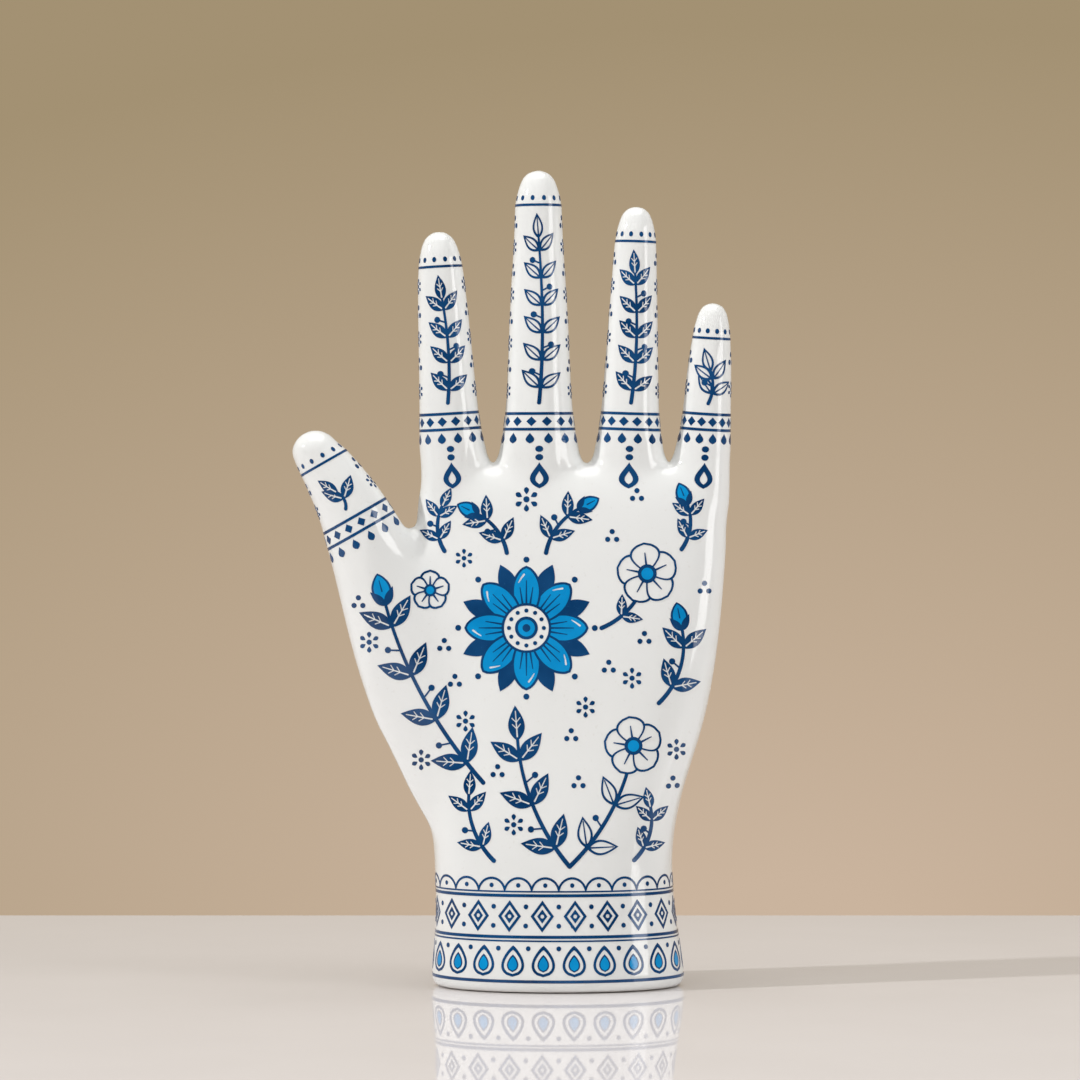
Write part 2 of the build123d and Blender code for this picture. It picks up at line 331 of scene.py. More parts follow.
@dataclass(frozen=True)
class GlazedFinish(Finish):
    """A glaze that runs thick in hollows, darkened there with painted shade, and stops above a bare foot ring
    of fired clay.

    Attributes:
        pooled_glaze_and_shade: The colour in hollows, standing both for thick glaze and for painted shade in
            the creases.
        pooled_glaze_and_shade_share: How strongly that shows.
        biscuit: The bare clay's colour.
        glaze_line: The heights between which the glaze runs out, in metres.
        biscuit_roughness: How much rougher the bare clay is.
    """

    pooled_glaze_and_shade: Colour = (0.66, 0.69, 0.70, 1.0)
    pooled_glaze_and_shade_share: float = 0.4
    biscuit: Colour = (0.62, 0.58, 0.52, 1.0)
    glaze_line: Span = (0.28 * MM, 0.5 * MM)
    biscuit_roughness: float = 0.7

    def dress(self, board: NodeBoard, ripple: bpy.types.NodeSocket, colour: bpy.types.NodeSocket,
              rough: bpy.types.NodeSocket) -> None:
        """Lays the glaze over the clay, thick and with painted shade in the hollows, and down to the glaze
        line.

        Args:
            board: The material's board.
            ripple: The ripple's height.
            colour: The glaze's colour.
            rough: The glaze's roughness.
        """
        # Painted shade: hollows are mixed towards a darker grey, partly the tint of thick glaze and partly
        # shade in the creases.
        hollow = board.add("ShaderNodeAttribute", {"attribute_name": HOLLOW}).outputs["Fac"]
        colour = board.mix(board.maths("MULTIPLY", hollow, self.pooled_glaze_and_shade_share), colour, self.pooled_glaze_and_shade)
        place = board.add("ShaderNodeTexCoord").outputs["Object"]
        height = board.add("ShaderNodeSeparateXYZ", Vector=place).outputs["Z"]
        colour = board.mix(board.remap(height, self.glaze_line), self.biscuit, colour)
        bare = board.remap(height, self.glaze_line, (self.biscuit_roughness, 0.0))
        super().dress(board, ripple, colour, board.maths("ADD", rough, bare))


PORCELAIN = GlazedFinish(
    "glazed_porcelain", ((0.815, 0.817, 0.796, 1.0), (0.845, 0.851, 0.835, 1.0)),
    speck=(0.55, 0.50, 0.42, 1.0), speck_share=0.12, roughness=(0.05, 0.09),
    ripple_scale=55.0, speck_scale=900.0, ripple_depth=0.12 * MM)
NAVY_TRANSFER = Finish(
    "fired_navy", ((0.001, 0.034, 0.118, 1.0), (0.008, 0.074, 0.213, 1.0)),
    speck=(0.02, 0.11, 0.29, 1.0), speck_share=0.5, roughness=(0.07, 0.13),
    ripple_scale=55.0, speck_scale=2200.0, ripple_depth=0.12 * MM, tone_scale=80.0)
CERULEAN_TRANSFER = Finish(
    "fired_cerulean", ((0.001, 0.23, 0.54, 1.0), (0.003, 0.33, 0.72, 1.0)),
    speck=(0.01, 0.16, 0.42, 1.0), speck_share=0.5, roughness=(0.07, 0.13),
    ripple_scale=55.0, speck_scale=2200.0, ripple_depth=0.12 * MM, tone_scale=80.0)
PAD_FOAM = Finish(
    "cell_foam", ((0.66, 0.65, 0.62, 1.0), (0.72, 0.71, 0.68, 1.0)),
    speck=(0.45, 0.44, 0.42, 1.0), speck_share=0.6, roughness=(0.85, 0.95),
    ripple_scale=1400.0, speck_scale=1800.0, ripple_depth=0.25 * MM)
TABLE_TOP = Finish(
    "table_top", ((0.775, 0.735, 0.725, 1.0), (0.795, 0.755, 0.745, 1.0)),
    speck=(0.68, 0.65, 0.64, 1.0), speck_share=0.1, roughness=(0.02, 0.03),
    ripple_scale=9.0, speck_scale=400.0, ripple_depth=0.004 * MM, specular=0.04)


# Shapes on a transfer sheet: complex numbers are places in millimetres

ARC_STEP = 0.7
BAND_STEP = 0.8
BLADE_STEP = 0.55
DISC_STEP = 0.5
LEAST_PARTS = 8
LEAST_ARC_PARTS = 4
LEAST_DISC_PARTS = 10
SIDE_PARTS = 4
STROKE_PARTS = 3
STRAIGHT = 1e-6
CAP_ANGLES = (-60, -30, 0, 30, 60)


@dataclass(frozen=True)
class Shape:
    """One inked area of a transfer, which is also the plainest motif.

    Attributes:
        outline: Its corners in order.
        ink: Its ink.
    """

    outline: tuple[complex, ...]
    ink: Ink

    def shapes(self) -> list["Shape"]:
        """Itself alone."""
        return [self]

    def placed(self, at: complex = 0j, turn: complex = 1 + 0j) -> "Shape":
        """The shape turned about the origin and moved."""
        return Shape(tuple(at + turn * point for point in self.outline), self.ink)


def placed(shapes: Iterable[Shape], at: complex = 0j, turn: complex = 1 + 0j) -> list[Shape]:
    """Turns shapes about the origin and moves them."""
    return [shape.placed(at, turn) for shape in shapes]


def heading(degrees: float) -> complex:
    """The unit step along an angle."""
    return cmath.rect(1, math.radians(degrees))


def turns_round(count: int, first: float = 0.0) -> list[complex]:
    """Even headings right round, the first at an angle in degrees."""
    return [heading(first + 360 * i / count) for i in range(count)]


def parts(length: float, step: float, least: int = LEAST_PARTS) -> int:
    """How many parts of about a step each a length is cut into."""
    return max(least, round(length / step))


def steps(count: int) -> list[float]:
    """Even shares from 0 to 1."""
    return [i / count for i in range(count + 1)]


def middles(count: int, length: float) -> list[float]:
    """The middles of as many equal parts of a length."""
    return [(i + 0.5) / count * length for i in range(count)]


def scaled(pair: Span, factor: float) -> Span:
    """Both values of a pair times a factor."""
    return pair[0] * factor, pair[1] * factor


def tangents(line: Sequence[complex]) -> list[complex]:
    """The unit heading at each point of a line.

    Args:
        line: The line's points.

    Returns:
        As many headings.
    """
    last = len(line) - 1
    ahead = [line[min(i + 1, last)] - line[max(i - 1, 0)] for i in range(last + 1)]
    return [step / abs(step) for step in ahead]


def bowed(start: complex, via: complex, end: complex) -> list[complex]:
    """Points along the circular arc through three places.

    Args:
        start: The arc's first place.
        via: A place on it.
        end: Its last place.

    Returns:
        The points in order.
    """
    to_via, to_end = via - start, end - start
    shares = steps(parts(abs(to_via) + abs(end - via), ARC_STEP, LEAST_ARC_PARTS))
    bend = (to_via.conjugate() * to_end).imag
    if abs(bend) < STRAIGHT:
        return [start + to_end * share for share in shares]
    centre = start + (abs(to_via) ** 2 * to_end - abs(to_end) ** 2 * to_via) / (2j * bend)
    sweep = cmath.phase((via - centre) / (start - centre)) + cmath.phase((end - centre) / (via - centre))
    return [centre + (start - centre) * cmath.rect(1, sweep * share) for share in shares]


def ribbon(line: Sequence[complex], widths: Span, ink: Ink = Ink.NAVY) -> Shape:
    """A stroke with round ends.

    Args:
        line: The stroke's middle line.
        widths: Its width at the start and at the end.
        ink: Its ink.

    Returns:
        The stroke's shape.
    """
    halves = [(widths[0] + (widths[1] - widths[0]) * share) / 2 for share in steps(len(line) - 1)]
    along = tangents(line)
    right = [point - 1j * step * half for point, step, half in zip(line, along, halves)]
    left = [point + 1j * step * half for point, step, half in zip(line, along, halves)]
    cap_turns = [heading(angle) for angle in CAP_ANGLES]
    end_cap = [line[-1] + halves[-1] * along[-1] * turn for turn in cap_turns]
    start_cap = [line[0] - halves[0] * along[0] * turn for turn in cap_turns]
    return Shape(tuple(right + end_cap + left[::-1] + start_cap), ink)


def stroke(start: complex, end: complex, widths: Span, ink: Ink = Ink.NAVY) -> Shape:
    """A straight stroke with round ends."""
    return ribbon([start + (end - start) * share for share in steps(STROKE_PARTS)], widths, ink)


def band(length: float, height: float, width: float) -> Shape:
    """A level navy stroke from the imaginary axis on, with square ends that meet where it goes right round.

    Args:
        length: Its length.
        height: Its middle's height.
        width: Its width.

    Returns:
        The stroke's shape.
    """
    places = [length * share for share in steps(parts(length, BAND_STEP))]
    low = [complex(place, height - width / 2) for place in places]
    high = [complex(place, height + width / 2) for place in reversed(places)]
    return Shape(tuple(low + high), Ink.NAVY)


def disc(centre: complex, radius: float, ink: Ink = Ink.NAVY) -> Shape:
    """A round spot."""
    count = parts(2 * math.pi * radius, DISC_STEP, LEAST_DISC_PARTS)
    return Shape(tuple(centre + radius * turn for turn in turns_round(count)), ink)


def blade(length: float, width: float, ink: Ink, cut: Cut = Cut.LEAF) -> Shape:
    """A leaf's or petal's area along the real axis, from its stalk at the origin.

    Args:
        length: Its length.
        width: Its greatest width.
        ink: Its ink.
        cut: Its cut.

    Returns:
        The blade's shape.
    """
    fullest, bluntness = cut.value
    power = math.log(0.5) / math.log(fullest)
    shares = steps(parts(length, BLADE_STEP))
    halves = [width / 2 * math.sin(math.pi * share**power) ** bluntness for share in shares]
    upper = [complex(length * share, half) for share, half in zip(shares, halves)]
    lower = [point.conjugate() for point in upper]
    return Shape(tuple(lower + upper[-2:0:-1]), ink)


def outlined(length: float, width: float, line: float, fill: Ink, cut: Cut,
             ends: Span = (1.0, 1.0)) -> list[Shape]:
    """A blade in a navy outline.

    Args:
        length: Its length.
        width: Its greatest width.
        line: The outline's width at its sides.
        fill: The ink inside.
        cut: Its cut.
        ends: The outline's width at the stalk and at the tip, in lines.

    Returns:
        The outline and the fill over it.
    """
    inside = blade(length - sum(ends) * line, width - 2 * line, fill, cut)
    return [blade(length, width, Ink.NAVY, cut), inside.placed(at=ends[0] * line)]


def rhomb(width: float, height: float, ink: Ink) -> Shape:
    """An upright lozenge's area round the origin.

    Args:
        width: From side to side.
        height: From foot to top.
        ink: Its ink.

    Returns:
        The lozenge's shape.
    """
    corners = (complex(width / 2, 0), complex(0, height / 2), complex(-width / 2, 0), complex(0, -height / 2))
    outline: list[complex] = []
    for corner, after in zip(corners, corners[1:] + corners[:1]):
        outline += [corner + (after - corner) * share for share in steps(SIDE_PARTS)[:-1]]
    return Shape(tuple(outline), ink)


# Motifs

UPWARDS = 90.0


class Motif(Protocol):
    """Something printed, drawn round the sheet's origin."""

    def shapes(self) -> list[Shape]:
        """Its shapes in painting order."""


@dataclass(frozen=True)
class Leaf:
    """A leaf along the real axis, from its stalk at the origin.

    Attributes:
        length: Its length.
        width: Its width.
        style: How it is drawn.
        line: An open leaf's outline.
        line_ends: That outline's width at stalk and tip, in lines.
        rib: The rib's width at its foot.
        rib_ends: Where the rib starts and ends, in lengths.
        vein: The veins' width.
        vein_feet: Where the veins leave the rib, in lengths.
        vein_reach: The veins' length, in widths.
        vein_tilt: The veins' angle to the rib in degrees.
    """

    length: float = 9.8
    width: float = 4.6
    style: LeafStyle = LeafStyle.VEINED
    line: float = 0.6
    line_ends: Span = (1.5, 1.5)
    rib: float = 0.46
    rib_ends: Span = (0.12, 0.84)
    vein: float = 0.3
    vein_feet: tuple[float, ...] = (0.34, 0.52)
    vein_reach: float = 0.36
    vein_tilt: float = 42.0

    def shapes(self) -> list[Shape]:
        """Its blade, rib and veins.

        Returns:
            The shapes in painting order.
        """
        rib = scaled(self.rib_ends, self.length)
        rib_widths = (self.rib, self.vein)
        if self.style is LeafStyle.OPEN:
            whole = outlined(self.length, self.width, self.line, Ink.BLANK, Cut.LEAF, self.line_ends)
            return [*whole, stroke(*rib, rib_widths)]
        shapes = [blade(self.length, self.width, Ink.NAVY), stroke(*rib, rib_widths, Ink.BLANK)]
        for share in self.vein_feet:
            foot = share * self.length
            for tilt in (-self.vein_tilt, self.vein_tilt):
                end = foot + self.vein_reach * self.width * heading(tilt)
                shapes.append(stroke(foot, end, (self.vein, self.vein), Ink.BLANK))
        return shapes


@dataclass(frozen=True)
class Bud:
    """A closed bud in its cup, along the real axis from its stalk at the origin.

    Attributes:
        length: Its length.
        width: Its width.
        line: Its outline.
        cup: The cup's length in lengths and its leaves' width in widths.
        cup_tilt: How far the cup's two leaves stand out, in degrees.
        fold: Where the petal's fold starts and ends, in lengths.
        fold_widths: The fold's width at either end, in lines.
    """

    length: float = 8.4
    width: float = 4.8
    line: float = 0.6
    cup: Span = (0.62, 0.42)
    cup_tilt: float = 34.0
    fold: Span = (0.45, 0.78)
    fold_widths: Span = (0.7, 0.4)

    def shapes(self) -> list[Shape]:
        """Its petal, cup and fold.

        Returns:
            The shapes in painting order.
        """
        petal = outlined(self.length, self.width, self.line, Ink.CERULEAN, Cut.BUD)
        leaf = blade(self.cup[0] * self.length, self.cup[1] * self.width, Ink.NAVY)
        cup = [leaf.placed(turn=heading(tilt)) for tilt in (-self.cup_tilt, self.cup_tilt)]
        fold = stroke(*scaled(self.fold, self.length), scaled(self.fold_widths, self.line))
        return [*petal, *cup, fold]


@dataclass(frozen=True)
class Stem:
    """A bowed stem with leaf pairs and berries.

    Attributes:
        start: Where it springs from.
        via: A place on its bow.
        end: Where it ends.
        pairs: Its leaf pairs.
        leaf: Its leaves.
        tip: What it ends in.
        leafy: The share of its length that carries leaves.
        widths: Its width at the start and at the end.
        leaf_tilt: The leaves' angle to the stem in degrees.
        berry: A berry's radius.
        berry_tilt: The berry stalks' angle to the stem.
        stalk: A berry stalk's length, in leaf lengths.
        stalk_widths: Its width at either end.
    """

    start: complex
    via: complex
    end: complex
    pairs: int
    leaf: Leaf = Leaf()
    tip: Motif = Leaf()
    leafy: float = 1.0
    widths: Span = (1.25, 0.85)
    leaf_tilt: float = 48.0
    berry: float = 0.9
    berry_tilt: float = 66.0
    stalk: float = 0.36
    stalk_widths: Span = (0.5, 0.45)

    def shapes(self) -> list[Shape]:
        """The stem, its leaf pairs with a berry between them, and its tip.

        Returns:
            The shapes in painting order.
        """
        line = bowed(self.start, self.via, self.end)
        along = tangents(line)
        leafy = self.leafy * (len(line) - 1)
        drawn = [ribbon(line, self.widths)]
        for middle in middles(self.pairs, leafy):
            place = round(middle)
            for tilt in (-self.leaf_tilt, self.leaf_tilt):
                drawn += placed(self.leaf.shapes(), line[place], along[place] * heading(tilt))
        for pair in range(1, self.pairs):
            place = round(pair / self.pairs * leafy)
            tilt = self.berry_tilt if pair % 2 else -self.berry_tilt
            spot = line[place] + self.stalk * self.leaf.length * along[place] * heading(tilt)
            drawn += [stroke(line[place], spot, self.stalk_widths), disc(spot, self.berry)]
        return drawn + placed(self.tip.shapes(), line[-1] - along[-1] * self.widths[1], along[-1])


@dataclass(frozen=True)
class Blossom:
    """The large blossom round the origin: sepals, veined petals and a dotted eye.

    Attributes:
        radius: From its middle to a petal's tip.
        fill: The petals' ink inside their navy outlines.
        petals: Its petals.
        petal_share: A petal's width, as a share of the way round per petal.
        line: Their outline.
        sepal: A sepal's length in radii and its width in petal widths.
        veins: Each vein's angle in degrees and its reach in radii.
        vein_start: Where the veins start, in radii.
        vein_widths: Their width at either end, in lines.
        glint: The white glint's places on a petal, as radii and degrees.
        glint_widths: Its width at either end, in lines.
        halo_dot: The radius of the dot outside each petal.
        eye_share: The eye's radius, in radii.
        eye_dots: Dots round the eye.
        eye_dot: The radius of their ring and their own, in eye radii.
        boss: The radii of the rings in its middle, with their inks, in eye radii.
    """

    radius: float
    fill: Ink = Ink.CERULEAN
    petals: int = 8
    petal_share: float = 0.61
    line: float = 0.7
    sepal: Span = (1.1, 0.6)
    veins: tuple[Span, ...] = ((-9.0, 0.66), (0.0, 0.76), (9.0, 0.66))
    vein_start: float = 0.38
    vein_widths: Span = (0.8, 0.35)
    glint: tuple[Span, ...] = ((0.74, 9.8), (0.8, 6.2), (0.86, 2.6))
    glint_widths: Span = (0.4, 0.8)
    halo_dot: float = 0.85
    eye_share: float = 0.4
    eye_dots: int = 12
    eye_dot: Span = (0.7, 0.085)
    boss: tuple[tuple[float, Ink], ...] = ((0.46, Ink.NAVY), (0.34, Ink.CERULEAN), (0.16, Ink.NAVY))

    def shapes(self) -> list[Shape]:
        """Sepals first, then petals, then the eye over them.

        Returns:
            The shapes in painting order.
        """
        width = self.petal_share * 2 * math.pi * self.radius / self.petals
        sepal = blade(self.sepal[0] * self.radius, self.sepal[1] * width, Ink.NAVY, Cut.SEPAL)
        drawn = [sepal.placed(turn=turn) for turn in turns_round(self.petals, 180 / self.petals)]
        petal = self.petal(width)
        for turn in turns_round(self.petals):
            drawn += placed(petal, turn=turn)
            drawn.append(disc((self.radius + 2 * self.halo_dot) * turn, self.halo_dot))
        return drawn + self.eye()

    def petal(self, width: float) -> list[Shape]:
        """A petal along the real axis: outline, fill, three veins and a white glint.

        Args:
            width: Its width.

        Returns:
            The shapes in painting order.
        """
        drawn = outlined(self.radius, width, self.line, self.fill, Cut.PETAL)
        for tilt, reach in self.veins:
            ray = self.radius * heading(tilt)
            drawn.append(stroke(self.vein_start * ray, reach * ray, scaled(self.vein_widths, self.line)))
        if self.fill is not Ink.BLANK:
            glint = [self.radius * share * heading(angle) for share, angle in self.glint]
            drawn.append(ribbon(glint, scaled(self.glint_widths, self.line), Ink.BLANK))
        return drawn

    def eye(self) -> list[Shape]:
        """The eye: a white disc with a ring of dots round a small boss.

        Returns:
            The shapes in painting order.
        """
        reach = self.eye_share * self.radius
        ring, dot = scaled(self.eye_dot, reach)
        dots = [disc(ring * turn, dot) for turn in turns_round(self.eye_dots)]
        boss = [disc(0j, share * reach, ink) for share, ink in self.boss]
        return [disc(0j, reach), disc(0j, reach - self.line, Ink.BLANK), *dots, *boss]


@dataclass(frozen=True)
class Floret:
    """A small open blossom round the origin, white inside its outlines.

    Attributes:
        radius: Its reach.
        petals: Its petals.
        petal_width: A petal's width, in radii.
        line: Its outline.
        rib: Where a petal's rib starts and ends, in radii.
        rib_widths: The rib's width at either end, in lines.
        eye: The eye's outer and inner radius, in radii.
    """

    radius: float
    petals: int = 5
    petal_width: float = 0.98
    line: float = 0.6
    rib: Span = (0.3, 0.66)
    rib_widths: Span = (1.0, 0.5)
    eye: Span = (0.3, 0.19)

    def shapes(self) -> list[Shape]:
        """Petals with a rib each, and the eye.

        Returns:
            The shapes in painting order.
        """
        petal = outlined(self.radius, self.petal_width * self.radius, self.line, Ink.BLANK, Cut.FLORET)
        petal.append(stroke(*scaled(self.rib, self.radius), scaled(self.rib_widths, self.line)))
        drawn: list[Shape] = []
        for turn in turns_round(self.petals, UPWARDS):
            drawn += placed(petal, turn=turn)
        outer, inner = scaled(self.eye, self.radius)
        return [*drawn, disc(0j, outer), disc(0j, inner, Ink.CERULEAN)]


@dataclass(frozen=True)
class TinyFlower:
    """A dot with short petals round it.

    Attributes:
        reach: Its reach.
        petals: Its petals.
        petal: A petal's length and width, in reaches.
        petal_foot: Where the petals start, in reaches.
        dot: The dot's radius, in reaches.
    """

    reach: float = 2.9
    petals: int = 6
    petal: Span = (0.6, 0.42)
    petal_foot: float = 0.42
    dot: float = 0.26

    def shapes(self) -> list[Shape]:
        """The petals and the dot.

        Returns:
            The shapes in painting order.
        """
        petal = blade(*scaled(self.petal, self.reach), Ink.NAVY, Cut.TINY)
        petal = petal.placed(at=self.petal_foot * self.reach)
        petals = [petal.placed(turn=turn) for turn in turns_round(self.petals, UPWARDS)]
        return [*petals, disc(0j, self.dot * self.reach)]


@dataclass(frozen=True)
class Trefoil:
    """Three dots round the origin.

    Attributes:
        dot: The dots' radius.
        spread: From the origin to a dot's middle.
    """

    dot: float = 0.75
    spread: float = 1.45

    def shapes(self) -> list[Shape]:
        """The dots."""
        return [disc(self.spread * turn, self.dot) for turn in turns_round(3, UPWARDS)]


@dataclass(frozen=True)
class Lappet:
    """A pointed lappet from its foot at the origin upwards, with a seed inside.

    Attributes:
        height: Its height.
        width: Its width.
        line: Its outline.
        line_ends: The outlines' width at foot and tip, in lines.
        seed: The seed's height in heights and its width in widths.
        seed_foot: Where the seed starts, in lines.
    """

    height: float = 8.6
    width: float = 6.6
    line: float = 0.75
    line_ends: Span = (1.0, 1.6)
    seed: Span = (0.56, 0.5)
    seed_foot: float = 1.7

    def shapes(self) -> list[Shape]:
        """Its outline, its white field and the seed in a finer outline.

        Returns:
            The shapes in painting order.
        """
        lappet = outlined(self.height, self.width, self.line, Ink.BLANK, Cut.LAPPET, self.line_ends)
        seed = outlined(self.seed[0] * self.height, self.seed[1] * self.width, self.line / 2, Ink.CERULEAN,
                        Cut.SEED, self.line_ends)
        return placed(lappet + placed(seed, at=self.seed_foot * self.line), turn=1j)


@dataclass(frozen=True)
class FramedLozenge:
    """A lozenge in its frame, round the origin.

    Attributes:
        width: Its width.
        height: Its height.
        line: Its frame's line.
        frame: How much narrower the white field is, in lines.
        inner: The inner lozenge's share of its size.
        pip: The white pip's radius.
    """

    width: float = 6.8
    height: float = 8.8
    line: float = 0.75
    frame: float = 2.6
    inner: float = 0.44
    pip: float = 0.55

    def shapes(self) -> list[Shape]:
        """The frame, the white field, the inner lozenge and its pip.

        Returns:
            The shapes in painting order.
        """
        white = 1 - self.frame * self.line / self.width
        layers = ((1.0, Ink.NAVY), (white, Ink.BLANK), (self.inner, Ink.NAVY))
        drawn = [rhomb(share * self.width, share * self.height, ink) for share, ink in layers]
        return [*drawn, disc(0j, self.pip, Ink.BLANK)]


@dataclass(frozen=True)
class Scallop:
    """An arch from the origin's left to its right, with a dot under it.

    Attributes:
        width: Its span.
        height: Its rise.
        line: Its line.
        dot: The dot's radius.
        dot_height: The dot's height, in rises.
    """

    width: float
    height: float = 3.2
    line: float = 0.65
    dot: float = 0.65
    dot_height: float = 0.38

    def shapes(self) -> list[Shape]:
        """The arch and its dot."""
        arch = bowed(complex(-self.width / 2, 0), complex(0, self.height), complex(self.width / 2, 0))
        return [ribbon(arch, (self.line, self.line)), disc(self.dot_height * self.height * 1j, self.dot)]


@dataclass(frozen=True)
class Pendant:
    """Beads and a drop that hang from the origin.

    Attributes:
        length: How far the drop hangs down.
        drop_width: The drop's width.
        beads: Its beads.
        bead: Their radius.
        bead_pitch: From bead to bead, in radii.
        heart: The white heart's length in drop lengths and its width in drop widths.
        heart_start: Where the heart starts, in drop lengths.
    """

    length: float = 12.0
    drop_width: float = 4.2
    beads: int = 2
    bead: float = 0.9
    bead_pitch: float = 2.6
    heart: Span = (0.5, 0.42)
    heart_start: float = 0.34

    def shapes(self) -> list[Shape]:
        """The beads, then the drop with its white heart.

        Returns:
            The shapes in painting order.
        """
        pitch = self.bead_pitch * self.bead
        beads = [disc(complex(0, -self.bead - i * pitch), self.bead) for i in range(self.beads)]
        top = self.beads * pitch
        size = self.length - top
        drop = blade(size, self.drop_width, Ink.NAVY, Cut.DROP)
        heart = blade(self.heart[0] * size, self.heart[1] * self.drop_width, Ink.BLANK, Cut.HEART)
        heart_at = complex(0, -top - self.heart_start * size)
        return [*beads, drop.placed(complex(0, -top), -1j), heart.placed(heart_at, -1j)]


# Carriers and transfers


class Carrier(Protocol):
    """Tells where a sheet's place lies inside the hand, and the way out to the surface."""

    def ray(self, place: complex) -> tuple[Vector, Vector]:
        """The inner point in metres and the outward direction for a place on the sheet."""


@dataclass(frozen=True)
class FlatCarrier:
    """An upright sheet in the hand's middle plane, as it is seen from outside.

    Attributes:
        side: The side of the hand that it shows on.
    """

    side: Side

    def ray(self, place: complex) -> tuple[Vector, Vector]:
        """Straight out through the palm or the back."""
        facing = self.side.value
        return Vector((-facing * place.real * MM, 0, place.imag * MM)), Vector((0, facing, 0))


@dataclass(frozen=True)
class DigitCarrier:
    """A digit's axis, with the sheet rolled round it and its seam at the back.

    Attributes:
        base: The axis' start in metres.
        tip: Its end.
        radius: The digit's radius in millimetres where the sheet keeps its width.
    """

    base: Vector
    tip: Vector
    radius: float

    @property
    def length(self) -> float:
        """The axis' length in millimetres."""
        return (self.tip - self.base).length / MM

    @property
    def girth(self) -> float:
        """The way round the digit, on the sheet."""
        return 2 * math.pi * self.radius

    def places(self, count: int) -> list[float]:
        """Even places right round, measured from the front."""
        return [self.girth * (share - 0.5) for share in middles(count, 1.0)]

    def ray(self, place: complex) -> tuple[Vector, Vector]:
        """Out from the axis, turned round it by the place's distance across.

        Args:
            place: Across from the front, and along from the base.

        Returns:
            The inner point and the outward direction.
        """
        along = (self.tip - self.base).normalized()
        across = along.cross(Vector((0, Side.PALM.value, 0))).normalized()
        front = across.cross(along)
        turn = place.real / self.radius
        return self.base + along * place.imag * MM, front * math.cos(turn) + across * math.sin(turn)


@dataclass
class WristCarrier:
    """A sheet rolled round the wrist, its seam at the back.

    Attributes:
        half_width: Half the foot's width in millimetres.
        half_depth: Half its depth.
        inset: How far inside the outline the rays start.
        chords: The straight steps that the way round is measured in.
    """

    half_width: float = 35.7
    half_depth: float = 25.0
    inset: float = 9.0
    chords: int = 720

    def __post_init__(self) -> None:
        """Walks once round the foot's oval, anticlockwise from above, and notes the way gone."""
        turns = [heading(UPWARDS + 360 * share) for share in steps(self.chords)]
        self.points = [complex(self.half_width * turn.real, self.half_depth * turn.imag) for turn in turns]
        self.gone = [0.0]
        for before, after in zip(self.points, self.points[1:]):
            self.gone.append(self.gone[-1] + abs(after - before))

    @property
    def girth(self) -> float:
        """The way round the foot in millimetres."""
        return self.gone[-1]

    def ray(self, place: complex) -> tuple[Vector, Vector]:
        """Out from inside the wrist, square to its outline.

        Args:
            place: The way gone round from the back, and the height.

        Returns:
            The inner point and the outward direction.
        """
        index = min(max(bisect_right(self.gone, place.real), 1), len(self.gone) - 1)
        before, after = self.points[index - 1], self.points[index]
        step = abs(after - before)
        spot = before + (after - before) * (place.real - self.gone[index - 1]) / step
        out = (after - before) * -1j / step
        inner = spot - out * self.inset
        return Vector((inner.real * MM, inner.imag * MM, place.imag * MM)), Vector((out.real, out.imag, 0))


